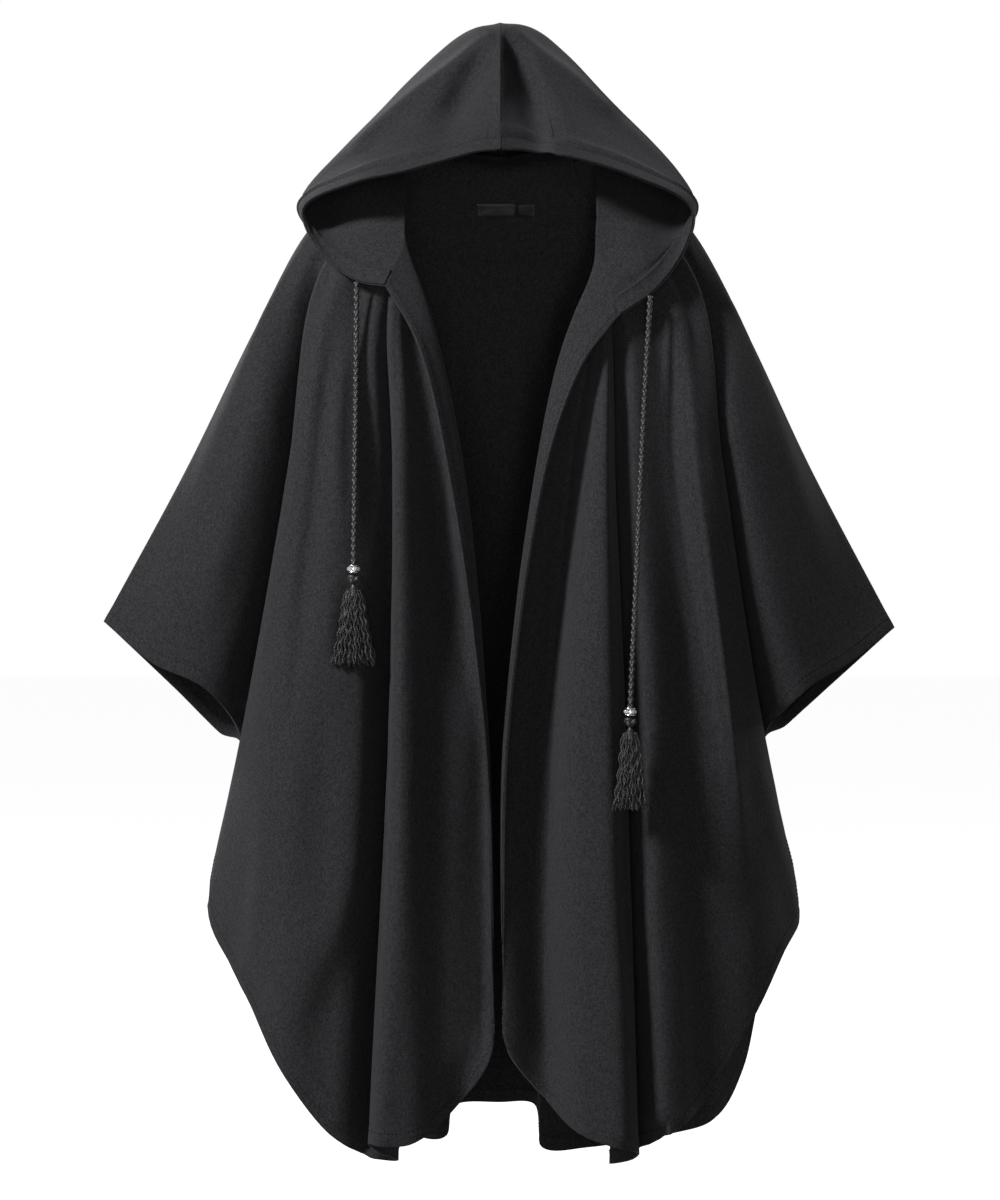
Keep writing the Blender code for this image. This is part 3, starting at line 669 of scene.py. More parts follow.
# The back, from the top of the wearer's right arm across to the top of the left arm.
BACK = (
    ("overarm right", (-111, 13.4, 38), (-212, 6.4, -42), (-279, 1.2, -162), (-358, 1.2, -323),
     (-455, 1.2, -502)),
    ("arm middle right", (-110, 18, 39), (-226, 28, -62), (-311, 42, -268), (-353, 46, -409),
     (-374, 40, -583)),
    ("arm inner right", (-109, 24, 39), (-214, 46, -68), (-272, 58, -295), (-302, 58, -454),
     (-326, 44, -631)),
    ("armpit right", (-107, 30, 38), (-202, 60, -78), (-240, 66, -312), (-264, 50, -477),
     (-296, 1.2, -645)),
    ("side right", (-104, 36, 37), (-190, 74, -84), (-244, 88, -331), (-294, 50, -630),
     (-335, 1.2, -829)),
    ("turn right", (-101, 40, 36), (-180, 80, -88), (-234, 112, -331), (-280, 92, -629),
     (-305, 52, -900)),
    ("broad right", (-97, 45, 35), (-168, 86, -92), (-220, 124, -331), (-262, 120, -628),
     (-286, 92, -958)),
    ("flute right", (-86, 53, 33), (-138, 98, -100), (-180, 142, -331), (-218, 162, -628),
     (-240, 150, -1052)),
    ("valley right", (-70, 61, 31), (-110, 98, -104), (-138, 108, -331), (-160, 94, -628),
     (-170, 84, -1092)),
    ("rib right", (-50, 68, 29), (-80, 108, -107), (-96, 138, -331), (-104, 156, -628),
     (-112, 140, -1112)),
    ("flute inner right", (-32, 72, 28), (-50, 104, -109), (-60, 108, -331), (-64, 94, -628),
     (-66, 78, -1107)),
    ("centre right", (-16, 74.5, 27), (-24, 110, -110), (-32, 132, -331), (-42, 142, -628),
     (-54, 136, -1077)),
    ("centre", (0, 75, 26), (0, 112, -110), (0, 138, -331), (0, 152, -628), (0, 150, -1076)),
    ("centre left", (16, 74.5, 27), (24, 110, -110), (31, 132, -331), (38, 142, -628), (42, 136, -1076)),
    ("flute inner left", (32, 72, 28), (50, 104, -109), (56, 108, -331), (54, 94, -628), (50, 78, -1119)),
    ("rib left", (50, 68, 29), (80, 108, -107), (94, 138, -331), (102, 154, -628), (104, 112, -1124)),
    ("valley left", (70, 61, 31), (110, 98, -104), (136, 108, -331), (156, 94, -628), (200, 98, -1106)),
    ("flute left", (86, 53, 33), (138, 98, -100), (180, 142, -331), (220, 160, -628), (254, 124, -1092)),
    ("broad left", (97, 45, 35), (168, 86, -92), (222, 124, -331), (266, 118, -628), (285, 96, -1030)),
    ("turn left", (101, 40, 36), (180, 80, -88), (240, 110, -331), (286, 90, -629), (307, 58, -920)),
    ("side left", (104, 36, 37), (190, 74, -84), (252, 88, -331), (301, 50, -630), (343, 1.2, -834)),
    ("armpit left", (107, 30, 38), (202, 60, -78), (242, 64, -312), (270, 50, -477), (302, 1.2, -641)),
    ("arm inner left", (109, 24, 39), (214, 46, -68), (275, 58, -295), (306, 58, -449), (333, 44, -622)),
    ("arm middle left", (110, 18, 39), (226, 28, -62), (312, 42, -268), (354, 46, -409), (388, 40, -572)),
    ("overarm left", (111, 13.4, 38), (212, 6.4, -42), (279, 1.2, -162), (356, 1.2, -325),
     (453, 1.2, -509)),
)

# Creases of each panel: the fold line (counted from nought) and the share of the way down where a crease
# starts and ends, its half width and its height in millimetres, and its strength at start and end.
CREASES_RIGHT = (
    (5.3, 0.02, 6.2, 0.34, 7, 2.6, 1.0, 0.0),
    (7.0, 0.02, 7.6, 0.30, 9, -3.2, 1.0, 0.0),
    (8.3, 0.02, 8.8, 0.42, 11, 2.8, 1.0, 0.2),
    (9.6, 0.04, 9.2, 0.36, 8, -2.4, 1.0, 0.0),
    (11.6, 0.03, 12.2, 0.45, 10, 2.4, 1.0, 0.0),
    (13.0, 0.05, 12.8, 0.52, 12, -2.2, 0.8, 0.0),
    (11.2, 0.50, 10.6, 0.86, 13, -3.0, 0.2, 1.0),
    (11.4, 0.62, 13.2, 0.40, 15, 2.0, 0.6, 0.0),
    (9.0, 0.42, 8.2, 0.80, 22, -2.6, 0.0, 0.3),
    (7.2, 0.46, 6.8, 0.94, 17, 3.0, 0.0, 1.0),
    (6.1, 0.40, 5.9, 0.96, 10, -2.4, 0.1, 1.0),
    (2.6, 0.20, 2.8, 0.72, 12, 2.2, 0.0, 0.4),
    (3.6, 0.36, 3.3, 0.90, 13, -1.8, 0.0, 0.6),
    (8.6, 0.70, 9.0, 1.00, 20, 3.0, 0.0, 1.0),
)
CREASES_LEFT = (
    (5.4, 0.02, 6.1, 0.30, 7, 2.4, 1.0, 0.0),
    (6.8, 0.02, 7.4, 0.36, 9, -3.0, 1.0, 0.0),
    (8.1, 0.02, 8.6, 0.44, 10, 2.6, 1.0, 0.0),
    (9.4, 0.04, 9.0, 0.30, 8, -2.6, 1.0, 0.0),
    (11.5, 0.03, 12.1, 0.42, 10, 2.2, 1.0, 0.0),
    (12.9, 0.05, 12.9, 0.56, 12, -2.4, 0.8, 0.0),
    (11.3, 0.48, 10.7, 0.84, 13, -3.2, 0.2, 1.0),
    (11.5, 0.60, 13.1, 0.38, 15, 1.8, 0.6, 0.0),
    (8.8, 0.40, 8.4, 0.86, 20, -2.8, 0.0, 0.3),
    (6.9, 0.44, 6.6, 0.96, 16, 2.8, 0.0, 1.0),
    (5.9, 0.34, 5.6, 0.96, 9, -2.0, 0.1, 1.0),
    (2.5, 0.18, 2.8, 0.66, 12, 2.2, 0.0, 0.4),
    (3.7, 0.30, 3.4, 0.92, 13, -2.0, 0.0, 0.6),
    (9.4, 0.66, 9.8, 1.00, 18, 2.8, 0.0, 1.0),
)
CREASES_BACK = (
    (1.8, 0.05, 1.4, 0.55, 12, 2.4, 0.9, 0.0),
    (3.4, 0.45, 4.2, 0.86, 13, -3.0, 0.2, 1.0),
    (5.6, 0.04, 5.9, 0.52, 14, -2.8, 1.0, 0.0),
    (7.5, 0.10, 7.4, 0.70, 16, 2.8, 0.3, 0.1),
    (8.6, 0.42, 8.9, 1.00, 14, 2.6, 0.0, 1.0),
    (10.6, 0.20, 10.4, 0.86, 12, 2.0, 0.0, 0.4),
    (12.1, 0.12, 12.0, 0.60, 20, -2.4, 0.2, 0.0),
    (13.4, 0.40, 13.7, 1.00, 13, 2.2, 0.0, 0.8),
    (15.4, 0.12, 15.6, 0.76, 16, -2.4, 0.2, 0.3),
    (16.6, 0.30, 16.3, 0.94, 15, 2.6, 0.0, 0.9),
    (18.4, 0.04, 18.1, 0.50, 14, 2.8, 1.0, 0.0),
    (20.7, 0.46, 19.9, 0.86, 13, -3.0, 0.2, 1.0),
    (22.4, 0.05, 22.8, 0.58, 12, -2.4, 0.9, 0.0),
)


# The deeper folds of the two fronts, as lines drawn on the front view. Each row gives the fold lines that
# it stays between, its width on the left and on the right, how far it stands out (or, below nought, goes
# in), the shares of its length over which it fades at the top and at the bottom, and its points across
# and up. All but the fold lines and the shares are in millimetres.
FOLDS_SEEN_RIGHT = (
    (10.9, 14, 25, 8, -31, (0.1, 0.15),
     ((-189, -99), (-206, -214), (-222, -326), (-239, -427), (-259, -522), (-283, -600))),
    (10.9, 14, 29, 22, 11, (0.3, 0.3),
     ((-255, -153), (-275, -253), (-295, -354), (-320, -443), (-342, -522))),
    (5.2, 10.9, 13, 18, -13, (0.2, 0.4),
     ((-183, -142), (-197, -265), (-206, -365), (-217, -455), (-226, -566), (-239, -689))),
    (5.2, 10.9, 38, 22, 15, (0.1, 0.2),
     ((-168, -142), (-168, -298), (-163, -432), (-159, -589), (-160, -701), (-172, -801), (-206, -891),
      (-239, -969))),
    (3.6, 7.5, 20, 9, -18, (0.1, 0.0),
     ((-117, -130), (-125, -309), (-126, -477), (-124, -656), (-129, -812), (-139, -924), (-150, -1092))),
    (2.5, 5.2, 8, 16, 6, (0.15, 0.0),
     ((-107, -142), (-110, -309), (-111, -477), (-111, -656), (-115, -812), (-126, -969), (-135, -1092))),
    (0.4, 3.6, 29, 8, -12, (0.2, 0.5),
     ((-72, -298), (-58, -410), (-46, -499), (-38, -589))),
    (1.2, 3.4, 19, 19, 14, (0.3, 0.1),
     ((-54, -477), (-45, -634), (-46, -768), (-47, -902), (-48, -1019))),
    (-1, 3.6, 16, 45, -16, (0.3, 0.2),
     ((-34, -432), (-16, -634), (-12, -768), (-11, -902), (-15, -1002))),
)
FOLDS_SEEN_LEFT = (
    (10.9, 14, 11, 56, 36, (0.35, 0.05),
     ((228, -130), (246, -220), (266, -332), (284, -432), (302, -533), (318, -611))),
    (10.5, 14, 8, 7, -10, (0.1, 0.1),
     ((212, -108), (228, -209), (246, -332), (264, -432), (280, -522), (293, -606))),
    (1.2, 4.2, 20, 12, -13, (0.1, 0.1),
     ((103, -175), (87, -298), (75, -432), (63, -566), (55, -701), (49, -812), (50, -924), (56, -1025))),
    (2.5, 5.2, 22, 9, 7, (0.1, 0.0),
     ((119, -175), (117, -343), (120, -477), (123, -634), (126, -768), (131, -902), (136, -1070))),
    (3.5, 7.5, 10, 7, -16, (0.1, 0.0),
     ((127, -175), (129, -298), (132, -432), (135, -566), (138, -701), (140, -812), (150, -924),
      (157, -1092))),
    (4.4, 9.5, 17, 51, 24, (0.85, 0.0),
     ((150, -175), (155, -298), (160, -477), (163, -634), (165, -768), (177, -902), (184, -1047))),
    (6.0, 10.5, 27, 22, -9, (0.3, 0.2),
     ((183, -298), (206, -455), (235, -589), (257, -723), (266, -812), (259, -935))),
    (8.0, 10.9, 22, 13, 7, (0.2, 0.3),
     ((217, -198), (230, -298), (248, -477), (266, -611), (282, -768))),
)


def row_places(length):
    """Distances down a fold line: closer together at the neck, and evenly spaced over the turned hem."""
    above = length - HEM_DEPTH
    shares = (np.arange(BODY_ROWS + 1) / BODY_ROWS) ** ROWS_CLOSER_AT_NECK
    hem = np.array((0.2, 0.4, 0.52, 0.6, 0.66, 0.72, 0.86, 1.0)) * HEM_DEPTH
    return np.concatenate([shares * above, above + hem])


def side_seam_columns(folds):
    """The columns between each two neighbouring fold lines of a short side seam."""
    runs = []
    for first in range(len(folds) - 1):
        if all(fold[0].startswith(SIDE_SEAM_FOLDS) for fold in folds[first : first + 2]):
            runs.append(slice(first * STEPS_PER_FOLD, (first + 1) * STEPS_PER_FOLD + 1))
    return runs


def panel_grid(folds):
    """A panel lofted through its fold lines, as rows of points from neck to hem."""
    lines = []
    for fold in folds:
        path = smooth_path(np.array(fold[1:]) * MM, 24)
        lines.append(along(path, row_places(reaches(path)[-1])))
    lines = np.array(lines)
    across = smooth_path(lines, STEPS_PER_FOLD)
    rows = across.shape[1]
    down = np.arange(rows) / (rows - 1)
    fade = np.clip((down - (1 - SEAM_FADE)) / SEAM_FADE, 0, 1) ** 2
    for columns in side_seam_columns(folds):
        first = columns.start // STEPS_PER_FOLD
        for step in range(STEPS_PER_FOLD + 1):
            straight = lines[first] + (lines[first + 1] - lines[first]) * step / STEPS_PER_FOLD
            column = columns.start + step
            across[column] += (straight - across[column]) * fade[:, None]
    return across.transpose(1, 0, 2)


def close_seams(grid, folds, way):
    """Brings a panel's edge over the arm and its short side seam up against the panel sewn to it."""
    outer = [0, -1] if folds is BACK else [-1]
    grid[:, outer, 1] += way * SEAM_CLOSING
    for columns in side_seam_columns(folds):
        grid[-1, columns, 1] += way * SEAM_CLOSING
    return grid


def normals_of(grid):
    """Unit normals of a grid, on the side where its columns crossed with its rows point."""
    normals = np.cross(np.gradient(grid, axis=1), np.gradient(grid, axis=0))
    return normals / np.maximum(np.linalg.norm(normals, axis=-1, keepdims=True), 1e-12)


def press_creases(grid, creases, out):
    """Moves the cloth in and out along its creases; out is the side that faces away from the wearer."""
    rows, columns = grid.shape[:2]
    normals = normals_of(grid) * out
    fold_at = np.arange(columns)[None, :] / STEPS_PER_FOLD
    down_at = np.arange(rows)[:, None] / (rows - 1)
    lift = np.zeros((rows, columns))
    for fold_a, down_a, fold_b, down_b, half_width, height, start, end in creases:
        shares = np.linspace(0, 1, 60)
        bend = np.sin(shares * math.tau * 0.8 + fold_a) * 0.10
        folds = fold_a + (fold_b - fold_a) * shares + bend
        downs = down_a + (down_b - down_a) * shares
        columns_on = np.clip((folds * STEPS_PER_FOLD).round().astype(int), 0, columns - 1)
        rows_on = np.clip((downs * (rows - 1)).round().astype(int), 0, rows - 1)
        spine = grid[rows_on, columns_on]
        swell = 4 * shares * (1 - shares) * (1 - max(start, end) * 0.3)
        strengths = start * (1 - shares) + end * shares + swell
        near = (fold_at > folds.min() - 1.6) & (fold_at < folds.max() + 1.6)
        near = near & (down_at > min(downs) - 0.12) & (down_at < max(downs) + 0.12)
        where = np.argwhere(near)
        gaps = np.linalg.norm(grid[where[:, 0], where[:, 1]][:, None] - spine[None], axis=2)
        nearest = gaps.argmin(axis=1)
        reach = gaps[np.arange(len(where)), nearest] / (half_width * MM)
        lift[where[:, 0], where[:, 1]] += height * MM * strengths[nearest] * np.exp(-reach**2)
    return grid + normals * lift[..., None]


def draw_folds(grid, folds, per_fold, way=None):
    """Pushes the cloth towards the viewer, or along way, at folds drawn on the front view."""
    lift = np.zeros(grid.shape[:2])
    fold_at = np.arange(grid.shape[1]) / per_fold
    for first, last, left, right, height, (fade_in, fade_out), points in folds:
        path = smooth_path(np.array(points) * MM, 40)
        ways = np.gradient(path, axis=0)
        ways /= np.linalg.norm(ways, axis=1, keepdims=True)
        columns = np.flatnonzero((fold_at >= first) & (fold_at <= last))
        flat = grid[:, columns][..., [0, 2]]
        gaps = flat[:, :, None] - path[None, None]
        distance = np.linalg.norm(gaps, axis=-1)
        nearest = distance.argmin(axis=-1)
        gap = np.take_along_axis(gaps, nearest[..., None, None], axis=2)[:, :, 0]
        side = ways[nearest][..., 0] * gap[..., 1] - ways[nearest][..., 1] * gap[..., 0]
        width = np.where(side < 0, left, right) * MM
        reach = distance.min(axis=-1) / width
        share = nearest / (len(path) - 1)
        from_top = np.minimum(1, (share + 0.02) / max(fade_in, 0.02))
        from_bottom = np.minimum(1, (1.02 - share) / max(fade_out, 0.02))
        strength = from_top * from_bottom
        past_first = soft_step(fold_at[columns], first + 0.15, 0.3)
        past_last = soft_step(fold_at[columns], last - 0.15, 0.3)
        ends = np.minimum(past_first, 1 - past_last)
        lift[:, columns] += height * MM * strength * ends * np.exp(-reach**2)
    push = np.array((0.0, -1.0, 0.0)) if way is None else way
    return grid + push * lift[..., None]


def soft_step(values, edge, width):
    share = np.clip((values - edge) / width + 0.5, 0, 1)
    return share * share * (3 - 2 * share)


def behind_cord(grid, hanging):
    """Keeps the cloth behind the cord, bead and tassel that hang in front of it."""
    line = hanging[hanging[:, 2].argsort()]
    x, y, reach = (np.interp(grid[..., 2], line[:, 2], line[:, axis]) for axis in (0, 1, 3))
    beside = np.maximum(np.abs(grid[..., 0] - x) - reach - ROOM_BESIDE_CORD, 0)
    nearest = y + reach + CLOTH + ROOM_BEHIND_CORD - beside * SLOPE_BESIDE_CORD
    level = (grid[..., 2] < line[-1, 2] - 0.004) & (grid[..., 2] > line[0, 2])
    grid[..., 1] = np.where(level, np.maximum(grid[..., 1], nearest), grid[..., 1])
    return grid


def run_down(grid):
    """How far each point lies from the first row, along its own column."""
    steps = np.linalg.norm(np.diff(grid, axis=0), axis=2)
    return np.concatenate([np.zeros((1, grid.shape[1])), np.cumsum(steps, axis=0)])


def run_across(grid):
    """How far each point lies from the first column, along its own row."""
    steps = np.linalg.norm(np.diff(grid, axis=1), axis=2)
    return np.concatenate([np.zeros((len(grid), 1)), np.cumsum(steps, axis=1)], axis=1)


def hold_seams(plain, pressed, folds):
    """Lets no crease move the cloth where it is sewn: at the neck, over the arms and at the side seams."""
    down = run_down(plain)
    across = run_across(plain)
    gaps = [down, across[:, -1:] - across]
    if folds is BACK:
        gaps.append(across)
    free = soft_step(np.minimum.reduce(np.broadcast_arrays(*gaps)), 0.010, 0.020)
    from_hem = down[-1] - down
    for columns in side_seam_columns(folds):
        before = across[:, [columns.start]] - across
        after = across - across[:, [columns.stop - 1]]
        outside = np.maximum(np.maximum(before, after), 0)
        free *= soft_step(np.hypot(outside, from_hem), 0.014, 0.028)
    return plain + (pressed - plain) * free[..., None]


def uneven(grid, height, seed):
    """The slight unevenness of heavy felted cloth: a sum of long slow waves."""
    rng = np.random.default_rng(seed)
    lift = np.zeros(grid.shape[:2])
    for length in (0.19, 0.12, 0.08, 0.055):
        for _ in range(4):
            way = rng.normal(size=3) * (1, 1, 0.45)
            way /= np.linalg.norm(way)
            lift += np.sin(grid @ way * math.tau / length + rng.uniform(0, math.tau)) * length
    return grid + normals_of(grid) * (lift / np.abs(lift).max() * height)[..., None]


def grid_faces(grid):
    rows, columns = grid.shape[:2]
    corner = (np.arange(rows - 1)[:, None] * columns + np.arange(columns - 1)).ravel()
    return np.stack([corner, corner + 1, corner + columns + 1, corner + columns], axis=1).tolist()


def cloth_mesh(name, grid):
    mesh = bpy.data.meshes.new(name)
    mesh.from_pydata(grid.reshape(-1, 3).tolist(), [], grid_faces(grid))
    mesh.shade_smooth()
    return mesh


def add_cloth(name, grid, thickness, single, material, slot, node):
    """A cloth wall with rounded edges; single is the share of its thickness at each point."""
    thing = add_piece(cloth_mesh(name, grid), material, slot, node)
    layers = thing.vertex_groups.new(name="layers")
    for index, share in enumerate(np.broadcast_to(single, grid.shape[:2]).ravel()):
        layers.add([index], float(share), "REPLACE")
    wall = thing.modifiers.new("thickness", "SOLIDIFY")
    wall.thickness = thickness
    wall.offset = 0.0
    wall.use_quality_normals = True
    wall.vertex_group = "layers"
    wall.thickness_vertex_group = 0.0
    rounding = thing.modifiers.new("rounded edges", "BEVEL")
    rounding.width = EDGE_ROUNDING
    rounding.segments = 2
    rounding.limit_method = "ANGLE"
    rounding.angle_limit = math.radians(60)
    return thing


def distance_in(grid, edge):
    """How far each point lies from an edge of the cloth: its opening edge or its hem."""
    return run_across(grid) if edge == "opening" else run_down(grid[::-1])[::-1]


def turned_edges(grid, out, has_opening):
    """Thickness shares and a stitched-down groove where the front edge and the hem are turned in."""
    inset = [distance_in(grid, "hem") / HEM_DEPTH]
    grooves = []
    if has_opening:
        opening = distance_in(grid, "opening")
        inset.append(opening / (STITCH_INSET * 1.9))
        grooves.append(opening - STITCH_INSET)
    grooves.append(distance_in(grid, "hem") - HEM_STITCHING)
    single = CLOTH / TURNED_CLOTH
    shares = np.minimum.reduce(inset)
    thickness = 1 - (1 - single) * soft_step(shares, 0.8, 0.4)
    groove = sum(np.exp(-((gap / GROOVE_WIDTH) ** 2)) for gap in grooves)
    return grid - normals_of(grid) * out * (groove * GROOVE_DEPTH)[..., None], thickness


def felted_wool(name, lightest, darkest):
    """Black felted wool: a brushed nap that scatters light at its edges, with a fine uneven grain."""
    material, tree, shader = new_material(name, lightest, 0.92)
    shader.inputs["Specular IOR Level"].default_value = 0.25
    shader.inputs["Sheen Weight"].default_value = 0.10
    shader.inputs["Sheen Roughness"].default_value = 0.45
    shader.inputs["Sheen Tint"].default_value = (0.62, 0.64, 0.70, 1)
    grain = add_noise(tree, 640, 3, (1, 1, 0.7))
    patches = add_noise(tree, 230, 2, (1, 1, 0.7))
    blend = tree.nodes.new("ShaderNodeMath")
    blend.operation = "MULTIPLY_ADD"
    blend.inputs[1].default_value = 0.22
    tree.links.new(patches.outputs["Fac"], blend.inputs[0])
    scaled = tree.nodes.new("ShaderNodeMath")
    scaled.operation = "MULTIPLY"
    scaled.inputs[1].default_value = 0.78
    tree.links.new(grain.outputs["Fac"], scaled.inputs[0])
    tree.links.new(scaled.outputs["Value"], blend.inputs[2])
    middle = tuple((a + b) / 2 for a, b in zip(lightest, darkest))
    ramp = add_ramp(tree, blend.outputs["Value"], ((0.38, darkest), (0.5, middle), (0.62, lightest)))
    tree.links.new(ramp.outputs["Color"], shader.inputs["Base Color"])
    nap = add_bump(tree, shader, grain.outputs["Fac"], 0.0008, 0.55)
    fibres = add_noise(tree, 1900, 2, (1, 1, 0.35))
    add_bump(tree, shader, fibres.outputs["Fac"], 0.0004, 0.45, nap)
    return material


def hanging_from(side):
    """The cord's line down to the end of its tassel, with how far it reaches to each side."""
    cord = [(*point, CORD_DIAMETER / 2) for point in cord_pieces[side]["centre"]]
    low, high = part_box(f"tassel_{side}")
    middle = (low + high) / 2
    half = (high.y - low.y) / 2
    lump = (middle.x, middle.y, high.z + 0.006, BEAD_RADIUS)
    return np.array([*cord, lump, (middle.x, middle.y, middle.z, half), (middle.x, middle.y, low.z, half)])


wool = felted_wool("black_wool", (0.032, 0.032, 0.035), (0.012, 0.012, 0.0135))
panels = {}
for name, folds, creases, seen, out, seed in (
    ("front_right", FRONT_RIGHT, CREASES_RIGHT, FOLDS_SEEN_RIGHT, 1, 11),
    ("front_left", FRONT_LEFT, CREASES_LEFT, FOLDS_SEEN_LEFT, -1, 12),
    ("back", BACK, CREASES_BACK, (), 1, 13),
):
    plain = panel_grid(folds)
    pressed = uneven(press_creases(plain, creases, out), 0.0007, seed)
    pressed = draw_folds(pressed, seen, STEPS_PER_FOLD)
    if seen:
        pressed = behind_cord(pressed, hanging_from(name.removeprefix("front_")))
        pressed[..., 1] = np.minimum(pressed[..., 1], np.maximum(plain[..., 1], BEHIND_LIMIT))
    panels[name] = close_seams(hold_seams(plain, pressed, folds), folds, -1 if name == "back" else 1)
front_right, front_left, back = panels.values()
body_grids = {
    "front_right": (front_right, 1, True, (1.05, 1.063), 0.518),
    "front_left": (front_left, -1, True, (1.10, 1.039), 0.558),
    "back": (back, 1, False, (1.962, 1.109), 1.047),
}
body_pieces = {}
for name, (grid, out, has_opening, flat, area) in body_grids.items():
    grid, thickness = turned_edges(grid, out, has_opening)
    piece = add_cloth(f"{name}_cloth", grid, TURNED_CLOTH, thickness, wool, "wool", name)
    body_pieces[name] = {"piece": piece, "grid": grid, "flat": flat, "area": area}


# The hood: two mirror-cut halves of the same wool, seamed over the crown and down the back of the head.
# It falls open over the shoulders, and its free edge is turned in over the drawcord's casing.
SEAM_GAP = 0.0003
CASING_WIDTH = 0.022
CASING_ROWS = 9
HOOD_STEPS = 14
STEPS_PER_RING = 22
RINGS_SUNK = 1.6
SUNK_DEPTH = 0.008
SUNK_WIDTH = 0.019
SEWN_RIDGE = 0.0022

# The right half of the hood in rings, from the face opening back to the seam down its middle. Each row
# gives the share of the neckline where the ring lands, and where it passes the crown, valley, brow, temple,
# cheek, jaw and throat, in millimetres.
HOOD_RIGHT = (
    ("brim", 0.00, (0, -128, 31), (-58, -119, 15), (-106, -124, 1), (-162, -112, -10), (-222, -78, -36),
     (-204, -86, -84), (-160, -104, -120)),
    ("fold", 0.17, (0, -64, 118), (-44, -32, 94), (-86, -54, 70), (-152, -62, 30), (-227, -62, -30),
     (-204, -72, -70), (-152, -88, -80)),
    ("ridge", 0.34, (0, 0, 184), (-20, 4, 174), (-52, 4, 147), (-120, -12, 90), (-227, -44, -26),
     (-196, -50, -54), (-150, -58, -36)),
    ("crown", 0.60, (0, 66, 197), (-40, 62, 184), (-76, 60, 157), (-128, 50, 102), (-189, 20, 20),
     (-182, 16, 16), (-148, 20, 48)),
    ("swell", 0.82, (0, 124, 176), (-30, 124, 166), (-62, 126, 140), (-100, 120, 94), (-122, 102, 54),
     (-112, 86, 46), (-92, 72, 54)),
    ("back", 1.00, (0, 158, 146), (0, 166, 130), (0, 172, 110), (0, 168, 84), (0, 152, 62),
     (0, 126, 50), (0, 98, 42)),
)

# The left half, with a sharper crease beside the seam.
HOOD_LEFT = (
    ("brim", 0.00, (0, -128, 31), (43, -100, 26), (63, -130, 20), (148, -112, -2), (217, -78, -36),
     (212, -84, -76), (174, -104, -130)),
    ("fold", 0.17, (0, -64, 118), (35, -30, 100), (52, -60, 90), (152, -62, 34), (221, -62, -29),
     (208, -72, -66), (160, -88, -86)),
    ("ridge", 0.34, (0, 0, 184), (12, 5, 178), (42, 2, 158), (116, -14, 98), (221, -44, -25),
     (196, -50, -54), (150, -58, -36)),
    ("crown", 0.60, (0, 66, 197), (42, 62, 187), (76, 60, 160), (126, 50, 104), (192, 20, 22),
     (182, 16, 16), (148, 20, 48)),
    ("swell", 0.82, (0, 124, 176), (30, 124, 166), (62, 126, 140), (100, 120, 94), (122, 102, 54),
     (112, 86, 46), (92, 72, 54)),
    ("back", 1.00, (0, 158, 146), (0, 166, 130), (0, 172, 110), (0, 168, 84), (0, 152, 62),
     (0, 126, 50), (0, 98, 42)),
)

# The hood's own creases, drawn on the front view in the same way. They stay on its front, between rings.
HOOD_FOLDS_RIGHT = (
    (-1, 2.3, 10, 7, 5, (0.05, 0.1),
     ((-5, 170), (-49, 137), (-102, 96), (-150, 51), (-167, 29))),
    (-1, 2.3, 14, 11, -5, (0.1, 0.2),
     ((-11, 144), (-34, 105), (-61, 63))),
)
HOOD_FOLDS_LEFT = (
    (-1, 2.3, 7, 10, 4, (0.05, 0.2),
     ((14, 176), (53, 144), (79, 125), (116, 88), (131, 74))),
    (-1, 2.3, 27, 11, -8, (0.1, 0.1),
     ((16, 166), (35, 116), (54, 77), (66, 34))),
)


def ring_places(ring_reaches):
    """Distances back from the hood's free edge: close over the casing, then even between rings."""
    places = list(np.linspace(0, CASING_WIDTH, CASING_ROWS))
    for start, end in zip([CASING_WIDTH, *ring_reaches[2:]], ring_reaches[2:]):
        places += list(start + (end - start) * np.arange(1, STEPS_PER_RING + 1) / STEPS_PER_RING)
    return np.array(places)


def hood_grid(rings, side, neck_path, below_path):
    """Half of the hood, lofted through its rings, as rows of points from the free edge to the back seam."""
    fine = 24
    lines = []
    for column in range(2, 9):
        path = smooth_path(np.array([ring[column] for ring in rings]) * MM, fine)
        lines.append(along(path, ring_places([reaches(path)[fine * r] for r in range(len(rings))])))
    neck_length = reaches(neck_path)[-1]
    neck_places = ring_places([ring[1] * neck_length for ring in rings])
    neck = along(neck_path, neck_places)
    below = along(below_path, neck_places / neck_length * reaches(below_path)[-1])
    way_down = below - neck
    way_down /= np.linalg.norm(way_down, axis=1, keepdims=True)
    way_up = lines[-1] - neck
    way_up /= np.linalg.norm(way_up, axis=1, keepdims=True)
    spread = way_up - way_down
    width = np.linalg.norm(spread, axis=1, keepdims=True)
    overlap = np.sqrt(np.maximum(1 - (width / 2) ** 2, 0))
    edge = neck + spread / width * (CLOTH * 0.5 * overlap - SEAM_CLOSING)
    grid = smooth_path(np.array([*lines, edge]), HOOD_STEPS).transpose(1, 0, 2)
    normals = normals_of(grid)
    sunk_rows = RINGS_SUNK * STEPS_PER_RING
    in_front = 1 - soft_step(np.arange(len(grid)), CASING_ROWS - 1 + sunk_rows, sunk_rows)
    sunk = SUNK_DEPTH * in_front[:, None] * np.exp(-((grid[..., 0] / SUNK_WIDTH) ** 2))
    down_ways = normals[:, 0] * (0, side, side)
    down_ways /= np.maximum(np.linalg.norm(down_ways, axis=1, keepdims=True), 1e-6)
    grid -= down_ways[:, None] * sunk[..., None]
    grid[:, 0, 0] = side * (CLOTH / 2 * np.abs(normals[:, 0, 0]) - SEAM_CLOSING)
    grid[-1, :, 0] = side * (CLOTH / 2 * np.abs(normals[-1, :, 0]) - SEAM_CLOSING)
    return grid


